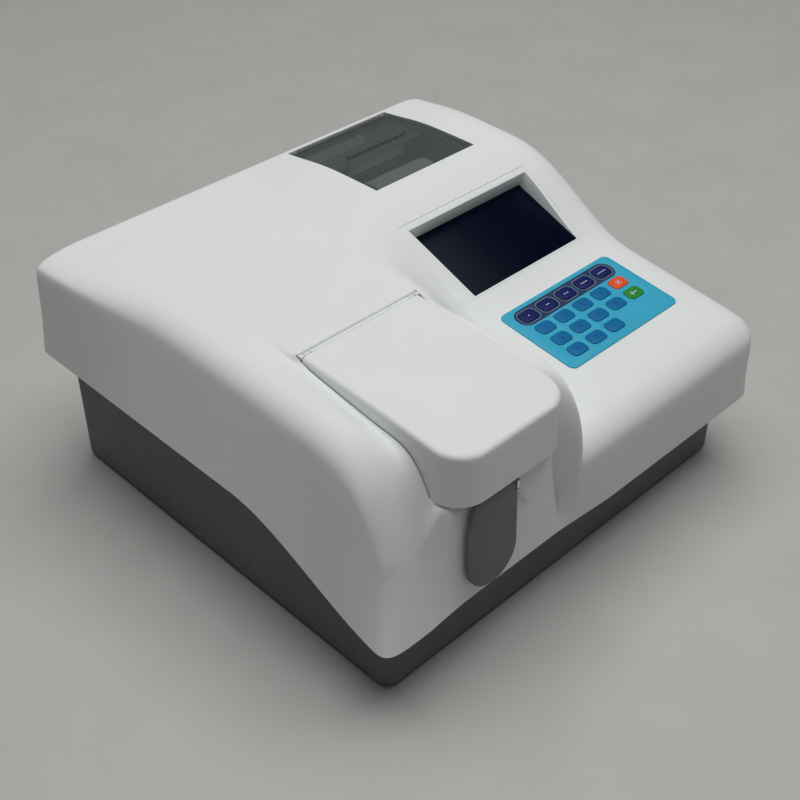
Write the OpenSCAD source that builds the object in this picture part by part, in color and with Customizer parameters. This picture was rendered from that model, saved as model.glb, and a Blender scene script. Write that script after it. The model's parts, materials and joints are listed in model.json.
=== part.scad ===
// Bench-top chemistry analyser with a hinged sample lid, a sloping console and a strip printer.
// Frame: +Z up, millimetres, origin on the bench under the middle of the casing, front towards -Y.

/* [Casing] */
// Width of the upper casing
case_w = 360; // [352:1:400]
// Depth of the upper casing
case_d = 348; // [340:1:380]
// Height of the roof above the bench
case_h = 178; // [174:1:190]
// Wall of the moulded casing and lid
wall = 3; // [2:0.25:3.5]
// Radius of the roof's arch, seen from the side
roof_r = 3000; // [1500:100:6000]
// Reach of the rounding along the left edge
edge_left = 20; // [16:1:24]
// Reach of the rounding along the right edge
edge_right = 22; // [18:1:26]
// Reach of the rounding along the front edge
edge_front = 22; // [18:1:26]
// Reach of the rounding along the rear edge
edge_rear = 6; // [5:0.5:8]
// Depth of the roundings on the left, right and front edges
edge_drop = 16; // [12:1:20]
// How far the left wall leans in at its top
left_lean = 13; // [6:1:16]
// How far the rear wall leans forward at its top
rear_lean = 11; // [10:1:16]
// Height of the casing's lower edge at the rear
part_rear = 95; // [90:1:100]
// Height of the casing's lower edge along the front
part_front = 51; // [48:1:56]
// Radius of the left fender's front, seen from the side
fender_r = 50; // [44:1:56]

/* [Base] */
// Step in from the casing's side wall to the base tray's wall
base_inset = 14.5; // [12:0.5:17]
// Wall of the base tray
base_wall = 3; // [2:0.25:4]
// Radius of the base tray's upright corners
base_r = 10; // [6:1:14]
// Height of the rubber feet
foot_h = 5; // [4:0.5:8]
// Radius of the rubber feet
foot_r = 9; // [7:0.5:11]

/* [Console] */
// Drop from the roof to the keypad's middle
desk_drop = 53; // [50:1:56]
// Slope of the keypad
key_tilt = 7; // [4:0.5:9]
// Width of the keypad's overlay
keypad_w = 113; // [112:1:116]
// Length of the keypad's overlay
keypad_d = 66; // [65:1:70]
// Spacing of the key columns
key_pitch = 19.3; // [18.5:0.1:19.8]
// Width of a key
key_w = 14.6; // [12:0.2:15.4]
// Travel of a key
key_travel = 0.6; // [0.4:0.1:0.8]
// Width of the display's glass
screen_w = 106; // [100:1:108]
// Slope of the display's glass
screen_tilt = 21; // [20:0.5:22]
// Width of the printer's cover
cover_w = 99; // [96:1:102]
// Length of the printer's cover
cover_d = 95; // [90:1:98]
// Outer radius of the paper roll
roll_r = 20; // [16:0.5:22]

/* [Sample side] */
// Width of the sample lid
lid_w = 98; // [92:1:100]
// Length of the sample lid from its hinge seam to its nose
lid_d = 132; // [126:1:136]
// Radius of the lid's front corners, seen from above
lid_r = 22; // [16:1:26]
// Height of the lid's front edge above the bench
nose_h = 128; // [124:1:132]
// Gap round the lid and the printer's cover
gap = 0.8; // [0.6:0.1:1]
// Width of the aspirating paddle
paddle_w = 41; // [36:1:44]

/* [Hidden] */
left_x = -case_w / 2;
right_x = case_w / 2;
front_y = -case_d / 2;
rear_y = case_d / 2;
// Set-back of the wall under the lid's nose, and how far the front wall's foot is tucked in
front_set = 9;
front_tuck = 3;
tuck_share = 0.3;
// Clearance of a seated piece
fit = 0.3;
in_x0 = left_x + left_lean + edge_left;
in_x1 = right_x - edge_right;
in_y0 = front_y + edge_front;
in_y1 = rear_y - rear_lean - edge_rear;
rear_drop = 5;
console_rise = 5;
crown_y = rear_y - 114;
console_x = right_x - 90.5;
desk_h = case_h - desk_drop;
lid_x = left_x + 103;
lid_front = front_y + 2.5;
seam_y = lid_front + lid_d;
lid_x0 = lid_x - lid_w / 2;
lid_x1 = lid_x + lid_w / 2;
well_x0 = lid_x0 - gap;
well_x1 = lid_x1 + gap;
well_z = nose_h - 26;
riser = 2.5;
// The wall under the nose turns back at both ends, as the nose's corners do
nose_corner = 13;
left_set = 15;
valley_set = 20;
key_y = front_y + 84;
keypad_y1 = key_y + keypad_d / 2;
cover_x0 = console_x - 5 - cover_w / 2;
cover_x1 = cover_x0 + cover_w;
cover_y1 = in_y1 - 1.5;
cover_y0 = cover_y1 - cover_d;
slope_y0 = keypad_y1;
slope_y1 = cover_y0 - 6;
screen_x = console_x - 1.7;
screen_y = (slope_y0 + slope_y1) / 2 - 5.5;
bezel_d = 60;
bezel_x0 = screen_x - screen_w / 2 - 15;
bezel_x1 = screen_x + screen_w / 2 + 5;
bezel_y0 = screen_y - bezel_d / 2;
bezel_y1 = screen_y + bezel_d / 2;
key_ledge = 6;
key_open_x0 = console_x - keypad_w / 2 + key_ledge;
key_open_x1 = console_x + keypad_w / 2 - key_ledge;
key_open_y0 = key_y - keypad_d / 2 + key_ledge;
key_open_y1 = keypad_y1 - 4;
ramp_x1 = bezel_x0 - 1;

// Smooth step from 0 to 1
function ease(t) = let (c = min(max(t, 0), 1)) c * c * (3 - 2 * c);
function mix(a, b, t) = a + (b - a) * t;
function steps(a, b, n) = [for (k = [0:n - 1]) mix(a, b, k / n)];
function unit(v) = v / max(norm(v), 1e-9);

// Heights of the casing's main forms at a distance y from the middle
function roof_z(y) = case_h - console_rise - roof_r + sqrt(roof_r ^ 2 - (y - crown_y) ^ 2);
function desk_z(y) = desk_h + (y - key_y) * tan(key_tilt);
function console_z(y) =
    let (top = roof_z(y) + console_rise * ease((in_y1 - y) / 50))
    mix(desk_z(y), top, ease((y - slope_y0) / (slope_y1 - slope_y0)));
// The left fender rolls down in an arc that runs on as a steep straight, and a groove parts it from the lid
fender_y = front_y + 76;
fender_steep = 70;
function fender_fall(s) =
    let (arc = fender_r * sin(fender_steep))
    s < arc ? fender_r - sqrt(fender_r ^ 2 - s ^ 2)
        : fender_r * (1 - cos(fender_steep)) + (s - arc) * tan(fender_steep);
function fender_z(y) = roof_z(y) - fender_fall(max(0, fender_y - y));
groove_y = front_y + 189;
groove_l = 150;
groove_d = 11;
groove_end = front_y + 40;
groove_low = 1.3;
function groove_z(y) = mix(
    roof_z(y) - groove_d * ease((groove_y - y) / groove_l), nose_h - gap - groove_low,
    ease((groove_end - y) / 20)
);
ridge_w = 18;
function ridge_t(x) = ease((well_x0 - x) / ridge_w);
function left_z(x, y) = mix(groove_z(y), fender_z(y), ridge_t(x));
valley_d = 30;
valley_w = 11;
valley_x1 = well_x1 + valley_w + 4;
function valley_t(y) = ease((seam_y - 2 - y) / 75);
function ramp_w(y) = mix(ramp_x1 - well_x1, valley_w, valley_t(y));
function foot_z(y) = mix(roof_z(y), desk_z(y) - valley_d, valley_t(y));
function right_z(x, y) = mix(foot_z(y), console_z(y), ease((x - well_x1) / ramp_w(y)));
// The pedestal under the lid, level with the lid's lower edge, and the plateau behind it
function on_pedestal(x) = x > well_x0 - 0.01 && x < well_x1 + 0.01;
function pedestal_z(x, y) =
    y > seam_y - 0.01 ? roof_z(y) : max(nose_h - gap, x < lid_x ? groove_z(y) : foot_z(y));
function surf_z(x, y) = on_pedestal(x) ? pedestal_z(x, y) : x < lid_x ? left_z(x, y) : right_z(x, y);
function parting_z(y) = mix(part_front, part_rear, ease((y - front_y + 4) / 142));

// A thick skin over a grid of outer points. Cells that open(i, j) names are left out,
// and every free edge gets a rim.
function point_normal(p, i, j) =
    let (
        a = p[min(i + 1, len(p) - 1)][j] - p[max(i - 1, 0)][j],
        b = p[i][min(j + 1, len(p[0]) - 1)] - p[i][max(j - 1, 0)]
    )
    unit(cross(a, b));
function grid_normal(p, i, j) =
    let (
        n = len(p) - 1,
        m = len(p[0]) - 1,
        u = 2 * i < n ? i + 1 : i - 1,
        v = 2 * j < m ? j + 1 : j - 1
    )
    (i == 0 || i == n) && (j == 0 || j == m) ? unit(point_normal(p, u, j) + point_normal(p, i, v))
        : (i == 1 || i == n - 1) && (j == 1 || j == m - 1)
            ? unit(point_normal(p, i, j) + point_normal(p, u, v))
        : point_normal(p, i, j);
module skin(outer, thick, open) {
    n = len(outer);
    m = len(outer[0]);
    inner = [for (i = [0:n - 1]) [for (j = [0:m - 1]) outer[i][j] - thick * grid_normal(outer, i, j)]];
    function id(i, j) = i * m + j;
    function solid(i, j) = i >= 0 && j >= 0 && i < n - 1 && j < m - 1 && !open(i, j);
    cells = [for (i = [0:n - 2]) for (j = [0:m - 2]) if (solid(i, j)) [i, j]];
    faces = [
        for (c = cells)
            let (
                i = c[0],
                j = c[1],
                a = id(i, j),
                b = id(i + 1, j),
                d = id(i + 1, j + 1),
                e = id(i, j + 1),
                k = n * m
            )
            each concat(
                (2 * i < n) == (2 * j < m)
                    ? [[a, e, d], [a, d, b], [a + k, d + k, e + k], [a + k, b + k, d + k]]
                    : [[a, e, b], [b, e, d], [a + k, b + k, e + k], [b + k, d + k, e + k]],
                solid(i, j - 1) ? [] : [[a, b, a + k], [b, b + k, a + k]],
                solid(i, j + 1) ? [] : [[e, e + k, d], [d, e + k, d + k]],
                solid(i - 1, j) ? [] : [[a, a + k, e], [e, a + k, e + k]],
                solid(i + 1, j) ? [] : [[b, d, b + k], [d, d + k, b + k]]
            )
    ];
    polyhedron(points = concat([for (r = outer) each r], [for (r = inner) each r]), faces = faces);
}

// Rings round the casing's flat grid: four for the rounded edge, two for the wall, one for the flange
round_rings = 4;
wall_rings = 2;
rings = round_rings + wall_rings + 1;
// A list in rising order
function sorted(v) =
    len(v) < 2 ? v
        : let (p = v[0], rest = [for (k = [1:len(v) - 1]) v[k]])
            concat(sorted([for (r = rest) if (r < p) r]), [p], sorted([for (r = rest) if (r >= p) r]));
case_xs = sorted(concat(
    steps(in_x0, well_x0 - riser, 4), [well_x0 - riser, well_x0],
    steps(well_x0 + nose_corner, well_x1 - nose_corner, 3), [well_x1 - nose_corner, well_x1],
    steps(well_x1 + riser, valley_x1, 4), steps(valley_x1, ramp_x1, 3), [ramp_x1, bezel_x0, cover_x0],
    steps(key_open_x0, cover_x1, 4), [cover_x1, key_open_x1], steps(bezel_x1, in_x1, 2), [in_x1]
));
case_ys = sorted(concat(
    steps(in_y0, key_open_y0, 3), steps(key_open_y0, key_open_y1, 5), [key_open_y1],
    steps(keypad_y1, seam_y, 2), [seam_y], steps(bezel_y0, bezel_y1, 6), steps(bezel_y1, cover_y0, 3),
    steps(cover_y0, cover_y1, 5), steps(cover_y1, in_y1, 1), [in_y1]
));
// Set-back of the front wall at its top and at its foot, and the share of the edge's rounding
fender_set = 18;
function front_inset(x) =
    x < well_x0 - 0.01 ? mix(left_set, fender_set, ridge_t(x))
        : x < lid_x ? mix(left_set, front_set, min(1, (x - well_x0) / nose_corner))
        : x < well_x1 + 0.01 ? mix(valley_set, front_set, min(1, (well_x1 - x) / nose_corner))
        : valley_set * (1 - ease((x - well_x1) / valley_w));
function foot_inset(x) =
    tuck_share * front_set * max(0, min(1, (x - in_x0 + 10) / 43, (ramp_x1 - x) / (ramp_x1 - well_x1)));
function edge_share(x) = x < well_x0 + 0.01 ? mix(0.3, 0, ridge_t(x)) : on_pedestal(x) ? 0 : 1;
function case_point(i, j) =
    let (
        nx = len(case_xs),
        ny = len(case_ys),
        a = max(0, rings - i, i - rings - nx + 1),
        b = max(0, rings - j, j - rings - ny + 1),
        sx = i < rings ? -1 : 1,
        sy = j < rings ? -1 : 1,
        k = max(a, b),
        gx = case_xs[min(max(i - rings, 0), nx - 1)],
        gy = case_ys[min(max(j - rings, 0), ny - 1)],
        turn = k == 0 ? 0 : a >= b ? 45 * b / a : 90 - 45 * a / b,
        rear_t = ease((gy - 40) / 110),
        front = sy < 0 && b > 0,
        inset = front ? front_inset(gx) : 0,
        reach_x = sx < 0 ? edge_left + left_lean * rear_t : edge_right,
        reach_y = front ? edge_front - inset : edge_rear,
        low_x = sx < 0 ? edge_left + left_lean : edge_right,
        low_y = front ? edge_front - front_tuck - foot_inset(gx) : edge_rear + rear_lean,
        side_drop = mix(edge_drop, rear_drop + 3, rear_t),
        drop = mix(side_drop, front ? edge_drop : rear_drop, sin(turn) ^ 2),
        arc = 90 * min(k, round_rings) / round_rings,
        f = min(max(k - round_rings, 0), wall_rings) / wall_rings,
        sharp = mix(1, 0.4, f),
        cx = cos(turn) ^ sharp,
        cy = sin(turn) ^ sharp,
        pull = k == rings ? 0.06 : 1,
        x_top = gx + sx * cos(turn) * reach_x * sin(arc),
        y_top = gy + sy * sin(turn) * reach_y * sin(arc),
        x_low = gx + sx * cx * low_x * pull,
        y_low = gy + sy * cy * low_y * pull,
        share = front ? mix(1, edge_share(gx), sin(turn) ^ 2) : 1,
        top = surf_z(x_top, y_top) - share * drop * (1 - cos(arc))
    )
    k == 0
        ? [gx, gy, surf_z(gx, gy)]
        : [mix(x_top, x_low, f), mix(y_top, y_low, f), mix(top, parting_z(y_low), f)];
module upper_casing() {
    nx = len(case_xs);
    ny = len(case_ys);
    points = [for (i = [0:nx + 2 * rings - 1]) [for (j = [0:ny + 2 * rings - 1]) case_point(i, j)]];
    function mid_x(i) = (points[i][rings].x + points[i + 1][rings].x) / 2;
    function mid_y(j) = (points[rings][j].y + points[rings][j + 1].y) / 2;
    function between(v, a, b) = v > a && v < b;
    open = function (i, j)
        let (x = mid_x(i), y = mid_y(j), top = i >= rings && i < rings + nx - 1)
        top && (
            (between(x, well_x0, well_x1) && y < seam_y && j >= rings) ||
            (between(x, well_x0 + nose_corner, well_x1 - nose_corner) && y < in_y0 &&
                j >= rings - round_rings) ||
            (between(x, bezel_x0, bezel_x1) && between(y, bezel_y0, bezel_y1)) ||
            (between(x, key_open_x0, key_open_x1) && between(y, key_open_y0, key_open_y1)) ||
            (between(x, cover_x0, cover_x1) && between(y, cover_y0, cover_y1))
        );
    color("whitesmoke") skin(points, wall, open);
}

// Extrusions of a drawing along X, drawn in Y and Z, and along Y, drawn in X and Z
module along_x(x0, x1) {
    translate([x0, 0, 0]) rotate([90, 0, 90]) linear_extrude(x1 - x0) children();
}
module along_y(y0, y1) {
    translate([0, y1, 0]) rotate([90, 0, 0]) linear_extrude(y1 - y0) children();
}
// A rectangle with round corners
module slab(a, b, r) {
    translate([a.x + r, a.y]) square([b.x - a.x - 2 * r, b.y - a.y]);
    translate([a.x, a.y + r]) square([b.x - a.x, b.y - a.y - 2 * r]);
    for (x = [a.x + r, b.x - r], y = [a.y + r, b.y - r]) translate([x, y]) circle(r, $fn = 48);
}
// A box between two corners, and rods along the three axes
module block(a, b) { translate(a) cube(b - a); }
module rod_x(x0, x1, at, r) {
    translate([x0, at[0], at[1]]) rotate([0, 90, 0]) cylinder(r = r, h = x1 - x0, $fn = 48);
}
module rod_y(y0, y1, at, r) {
    translate([at[0], y1, at[1]]) rotate([90, 0, 0]) cylinder(r = r, h = y1 - y0, $fn = 48);
}
module rod_z(z0, z1, at, r) { translate([at[0], at[1], z0]) cylinder(r = r, h = z1 - z0, $fn = 48); }

// Base tray with the posts for the bench and the board, standing on four feet
base_x = right_x - base_inset;
base_y0 = front_y + base_inset + 4;
base_y1 = rear_y - base_inset + 2.5;
floor_z = foot_h + base_wall;
seat = 0.4;
panel_x = base_x - 26;
panel_z0 = floor_z + 8;
panel_z1 = part_rear - 9;
panel_mid = (panel_z0 + panel_z1) / 2;
panel_lap = 8;
panel_t = 1.5;
panel_y1 = base_y1 + panel_t;
screw_r = 1.45;
screw_hole_r = 1.6;
screw_head_r = 2.8;
screw_at = [
    for (x = [-panel_x - panel_lap / 2, 0, panel_x + panel_lap / 2])
        for (z = [panel_z0 - panel_lap / 2, panel_z1 + 3]) [x, z]
];
post_r = 5;
post_in = 10;
bench_z = floor_z + 12;
bench_t = 5;
bench_x0 = -base_x + 18;
bench_x1 = -8;
bench_y0 = base_y0 + 22;
bench_y1 = base_y1 - 96;
bench_posts = [
    for (x = [bench_x0 + post_in, bench_x1 - post_in])
        for (y = [bench_y0 + post_in, bench_y1 - post_in]) [x, y]
];
board_z = floor_z + 46;
board_x0 = bench_x1 + 12;
board_x1 = base_x - 14;
board_y0 = base_y0 + 18;
board_y1 = base_y1 - 128;
board_posts = [
    for (x = [board_x0 + post_in, board_x1 - post_in])
        for (y = [board_y0 + post_in, board_y1 - post_in]) [x, y]
];
vent_w = 4;
vent_l = 50;
vent_pitch = 10;
module base_tray() {
    rim = concat(
        [[front_y, parting_z(front_y) - seat]],
        [for (y = case_ys) [y, parting_z(y) - seat]],
        [[rear_y, part_rear - seat], [rear_y, case_h], [front_y, case_h]]
    );
    color("dimgray") {
        difference() {
            translate([0, 0, foot_h]) linear_extrude(part_rear - foot_h)
                slab([-base_x, base_y0], [base_x, base_y1], base_r);
            translate([0, 0, floor_z]) linear_extrude(part_rear)
                slab(
                    [-base_x + base_wall, base_y0 + base_wall],
                    [base_x - base_wall, base_y1 - base_wall],
                    base_r - base_wall
                );
            along_x(-case_w, case_w) polygon(rim);
            block([-panel_x, base_y1 - 2 * base_wall, panel_z0], [panel_x, rear_y, panel_z1]);
            for (p = screw_at) rod_y(base_y1 - 2 * base_wall, rear_y, p, screw_hole_r);
            for (k = [0:5])
                translate([bench_x1 - vent_w - k * vent_pitch, bench_y1 + 12, 0])
                    cube([vent_w, vent_l, floor_z + 1]);
        }
        for (p = bench_posts) rod_z(floor_z - 1, bench_z, p, post_r);
        for (p = board_posts) rod_z(floor_z - 1, board_z, p, post_r);
    }
}
foot_in = 26;
module rubber_feet() {
    color("black")
        for (x = [-base_x + foot_in, base_x - foot_in], y = [base_y0 + foot_in, base_y1 - foot_in])
            translate([x, y, 0]) cylinder(r1 = foot_r - 1, r2 = foot_r, h = foot_h, $fn = 48);
}

// Rear panel with the power inlet, the switch, the serial port, the fan and the waste outlet
inlet_x = 0.742 * panel_x;
inlet_w = 28;
inlet_h = 20;
inlet_l = 22;
switch_x = 0.4265 * panel_x;
switch_w = 13;
switch_h = 19;
switch_l = 16;
serial_x = 0.0824 * panel_x;
serial_w = 20;
serial_h = 11;
fan_x = -0.67 * panel_x;
fan_w = 60;
fan_t = 18;
waste_x = -0.2975 * panel_x;
waste_r = 5;
slot_pitch = 7.5;
slot_w = 4;
module panel_box(x, w, h, grow, y0, y1) {
    block([x - w / 2 - grow, y0, panel_mid - h / 2 - grow], [x + w / 2 + grow, y1, panel_mid + h / 2 + grow]);
}
module panel_slab(x, w, h, grow, r, y0, y1) {
    along_y(y0, y1)
        slab([x - w / 2 - grow, panel_mid - h / 2 - grow], [x + w / 2 + grow, panel_mid + h / 2 + grow], r);
}
module rear_panel() {
    y0 = base_y1 - 1;
    color("gainsboro") difference() {
        along_y(base_y1, panel_y1)
            slab([-panel_x - panel_lap, panel_z0 - 7], [panel_x + panel_lap, panel_z1 + 6], 3);
        panel_box(inlet_x, inlet_w, inlet_h, fit, y0, rear_y);
        panel_box(switch_x, switch_w, switch_h, fit, y0, rear_y);
        panel_box(serial_x, serial_w, serial_h, fit, y0, rear_y);
        rod_y(y0, rear_y, [waste_x, panel_mid], waste_r + fit);
        for (k = [-3:3])
            let (h = sqrt((fan_w / 2 - 4) ^ 2 - (k * slot_pitch) ^ 2), x = fan_x + k * slot_pitch)
                block([x - slot_w / 2, y0, panel_mid - h], [x + slot_w / 2, rear_y, panel_mid + h]);
        for (p = screw_at) rod_y(y0, rear_y, p, screw_hole_r);
    }
}
module panel_screws() {
    color("silver") for (p = screw_at) {
        rod_y(panel_y1, panel_y1 + 1.8, p, screw_head_r);
        rod_y(base_y1 - base_wall, panel_y1 + 1, p, screw_r);
    }
}
module waste_nipple() {
    at = [waste_x, panel_mid];
    color("ivory") difference() {
        union() {
            rod_y(base_y1 - 12, base_y1, at, waste_r + 3);
            rod_y(base_y1 - 1, panel_y1 + 1, at, waste_r);
            rod_y(base_y1 - 1, panel_y1 + 8, at, waste_r - 1.5);
        }
        rod_y(base_y1 - 13, rear_y, at, waste_r - 3);
    }
}
module inlet_socket() {
    rim = 2;
    deep = base_y1 - inlet_l + 8;
    color("black") {
        difference() {
            union() {
                panel_slab(inlet_x, inlet_w, inlet_h, 0, 3, base_y1 - inlet_l, panel_y1 + 1);
                panel_slab(inlet_x, inlet_w + 12, inlet_h, rim, 4, panel_y1, panel_y1 + 2.4);
            }
            panel_slab(inlet_x, inlet_w, inlet_h, -rim, 3, deep, rear_y);
        }
        for (k = [-1:1])
            translate([inlet_x + 7 * k - 2, deep - 1, panel_mid + 1 - 4 * abs(k)]) cube([4, 12, 2]);
    }
}
rocker_y = panel_y1 - 2.6;
rocker_half = switch_h / 2 - 2.6;
rocker_r = 1;
module switch_housing() {
    color("black") {
        difference() {
            union() {
                panel_box(switch_x, switch_w, switch_h, 0, base_y1 - switch_l, panel_y1 + 1);
                panel_slab(switch_x, switch_w, switch_h, 2, 1.5, panel_y1, panel_y1 + 1.8);
            }
            panel_box(switch_x, switch_w - 3, switch_h - 2.4, 0, base_y1 - 8, rear_y);
        }
        rod_x(switch_x - switch_w / 2 + 1, switch_x + switch_w / 2 - 1, [rocker_y, panel_mid], rocker_r);
    }
}
module power_rocker() {
    low = panel_mid - rocker_half;
    high = panel_mid + rocker_half;
    face = rocker_y + 3;
    color("dimgray") difference() {
        along_x(switch_x - switch_w / 2 + 2, switch_x + switch_w / 2 - 2) polygon([
            [rocker_y - 2, panel_mid - 3], [face, low], [face + 3.4, low + 0.6], [face + 1.6, panel_mid],
            [face + 0.8, high - 0.6], [face - 2, high], [rocker_y - 2, panel_mid + 3]
        ]);
        rod_x(switch_x - switch_w, switch_x + switch_w, [rocker_y, panel_mid], rocker_r + 0.05);
    }
}
module serial_port() {
    color("silver") difference() {
        union() {
            panel_slab(serial_x, serial_w, serial_h, 0, 2.5, base_y1 - 10, panel_y1 + 5);
            panel_slab(serial_x, serial_w + 10, serial_h, 1, 1.5, panel_y1, panel_y1 + 1);
        }
        panel_slab(serial_x, serial_w, serial_h, -1, 1.8, base_y1, rear_y);
    }
}
fan_y0 = base_y1 - fan_t;
fan_hub_r = 12;
fan_pin_r = 1.5;
fan_at = [fan_x, panel_mid];
module cooling_fan() {
    color("darkslategray") {
        difference() {
            panel_slab(fan_x, fan_w, fan_w, 0, 4, fan_y0, base_y1);
            rod_y(fan_y0 - 1, rear_y, fan_at, fan_w / 2 - 2);
        }
        for (k = [0:2])
            translate([fan_x, 0, panel_mid]) rotate([0, 120 * k, 0])
                block([-1.5, fan_y0, fan_hub_r - 2], [1.5, fan_y0 + 2.5, fan_w / 2 - 1]);
        difference() {
            rod_y(fan_y0, fan_y0 + 2.5, fan_at, fan_hub_r);
            rod_y(fan_y0 + 1, fan_y0 + 3, fan_at, fan_pin_r + 0.05);
        }
    }
}
module fan_rotor() {
    blade_l = fan_w / 2 - fan_hub_r - 2.5;
    color("black") {
        rod_y(fan_y0 + 3, base_y1 - 2, fan_at, fan_hub_r);
        rod_y(fan_y0 + 1.2, fan_y0 + 4, fan_at, fan_pin_r);
        for (k = [0:6])
            translate([fan_x, fan_y0 + fan_t / 2 + 1, panel_mid]) rotate([0, 360 / 7 * k, 0])
                translate([fan_hub_r - 1, 0, 0]) rotate([35, 0, 0])
                    translate([0, -0.8, -6]) cube([blade_l, 1.6, 12]);
    }
}

// Electronics in the base
supply_x0 = board_x1 - 108;
supply_y1 = base_y1 - inlet_l - 4;
module main_board() {
    top = board_z + 1.6;
    color("darkgreen") difference() {
        translate([0, 0, board_z]) linear_extrude(1.6) slab([board_x0, board_y0], [board_x1, board_y1], 2);
        for (p = board_posts) rod_z(board_z - 1, top + 1, p, screw_hole_r);
    }
    color("black") {
        block([board_x0 + 45, board_y0 + 60, top - 0.2], [board_x0 + 73, board_y0 + 88, top + 2.4]);
        for (k = [0:3])
            translate([board_x0 + 22 + 26 * k, board_y0 + 22, top - 0.2]) cube([18, 8, 2.6]);
        block([board_x1 - 60, board_y1 - 40, top - 0.2], [board_x1 - 20, board_y1 - 32, top + 8]);
    }
}
module power_supply() {
    top = floor_z + 38;
    color("silver") difference() {
        block([supply_x0, supply_y1 - 94, floor_z], [supply_x0 + 106, supply_y1, top]);
        for (k = [0:8])
            translate([supply_x0 + 11 + 10 * k, supply_y1 - 80, top - 2]) cube([4, 64, 3]);
    }
}
module optical_bench() {
    color("slategray") difference() {
        translate([0, 0, bench_z]) linear_extrude(bench_t)
            slab([bench_x0, bench_y0], [bench_x1, bench_y1], 6);
        for (p = bench_posts) rod_z(bench_z - 1, bench_z + bench_t + 1, p, screw_hole_r);
    }
}

// Photometer on the bench: lamp, flow cell, filter wheel and detector on one axis
bench_top = bench_z + bench_t;
axis_x = lid_x;
axis_z = well_z - 23;
cell_y = seam_y - 34;
cell_cap_r = 11;
lamp_y = bench_y1 - 34;
wheel_y = cell_y - 26;
wheel_rim = 8;
filter_at = (axis_z - bench_top - wheel_rim - 2) / 2;
filter_r = 0.227 * filter_at;
wheel_r = filter_at + wheel_rim;
shaft_r = 2.5;
shaft_play = 0.05;
wheel_z = axis_z - filter_at;
wheel_at = [axis_x, wheel_z];
module lamp_housing() {
    tube_in = 9;
    color("black") difference() {
        union() {
            block([axis_x - 22, lamp_y - 20, bench_top], [axis_x + 22, lamp_y + 28, axis_z + 18]);
            rod_y(lamp_y - 38, lamp_y - 19, [axis_x, axis_z], tube_in + 3);
            for (k = [0:5])
                translate([axis_x - 21.5 + 8 * k, lamp_y - 18, axis_z + 17]) cube([3, 44, 9]);
        }
        rod_y(lamp_y - 40, lamp_y + 20, [axis_x, axis_z], tube_in);
    }
}
module flow_cell() {
    color("gray") difference() {
        union() {
            block([axis_x - 16, cell_y - 14, bench_top], [axis_x + 16, cell_y + 14, axis_z + 14]);
            rod_z(axis_z + 13, well_z + 6, [axis_x, cell_y], cell_cap_r);
        }
        rod_y(cell_y - 20, cell_y + 20, [axis_x, axis_z], 4);
        rod_z(axis_z, well_z + 7, [axis_x, cell_y], 1.5);
    }
}
module filter_wheel() {
    color("dimgray") difference() {
        union() {
            rod_y(wheel_y - 3, wheel_y + 3, wheel_at, wheel_r);
            rod_y(wheel_y - 9, wheel_y + 3, wheel_at, 2 * shaft_r);
        }
        rod_y(wheel_y - 10, wheel_y + 10, wheel_at, shaft_r + shaft_play);
        for (k = [0:7])
            translate([axis_x, 0, wheel_z]) rotate([0, 45 * k, 0])
                rod_y(wheel_y - 5, wheel_y + 5, [0, filter_at], filter_r);
    }
}
motor_y = wheel_y - 14;
motor_half = 17;
module filter_motor() {
    color("silver") {
        block(
            [axis_x - motor_half, motor_y - 26, wheel_z - motor_half],
            [axis_x + motor_half, motor_y, wheel_z + motor_half]
        );
        block(
            [axis_x - motor_half - 3, motor_y - 0.5, bench_top],
            [axis_x + motor_half + 3, motor_y + 2.5, axis_z + 16]
        );
        rod_y(motor_y, wheel_y + 2, wheel_at, shaft_r);
    }
}
module detector_board() {
    y0 = motor_y + 2.5;
    color("darkgreen") block([axis_x - 18, y0, axis_z - 12], [axis_x + 18, y0 + 1.6, axis_z + 14]);
    color("black") rod_y(y0 + 1, y0 + 5, [axis_x, axis_z], filter_r + 1);
}
pump_x = bench_x0 + 24;
pump_y = seam_y + 10;
pump_z = bench_top + 34;
pump_at = [pump_x, pump_z];
pump_r = 22;
module pump_body() {
    color("gray") {
        difference() {
            union() {
                block([pump_x - pump_r, pump_y - 14, bench_top], [pump_x + pump_r, pump_y + 14, pump_z]);
                rod_y(pump_y - 14, pump_y + 14, pump_at, pump_r);
            }
            rod_y(pump_y - 15, pump_y + 8, pump_at, pump_r - 4);
        }
        rod_y(pump_y + 13, pump_y + 44, pump_at, 13);
        rod_y(pump_y - 12, pump_y + 10, pump_at, shaft_r);
    }
}
module pump_rotor() {
    roller_r = 3.5;
    reach = pump_r - 8 - roller_r;
    color("ivory") difference() {
        union() {
            rod_y(pump_y - 12, pump_y + 7, pump_at, 6);
            for (y = [pump_y - 12, pump_y + 4]) rod_y(y, y + 2.5, pump_at, reach + roller_r - 1);
            for (k = [0:2])
                translate([pump_x, 0, pump_z]) rotate([0, 120 * k, 0])
                    rod_y(pump_y - 11, pump_y + 5, [0, reach], roller_r);
        }
        rod_y(pump_y - 13, pump_y + 8, pump_at, shaft_r + shaft_play);
    }
}

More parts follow.
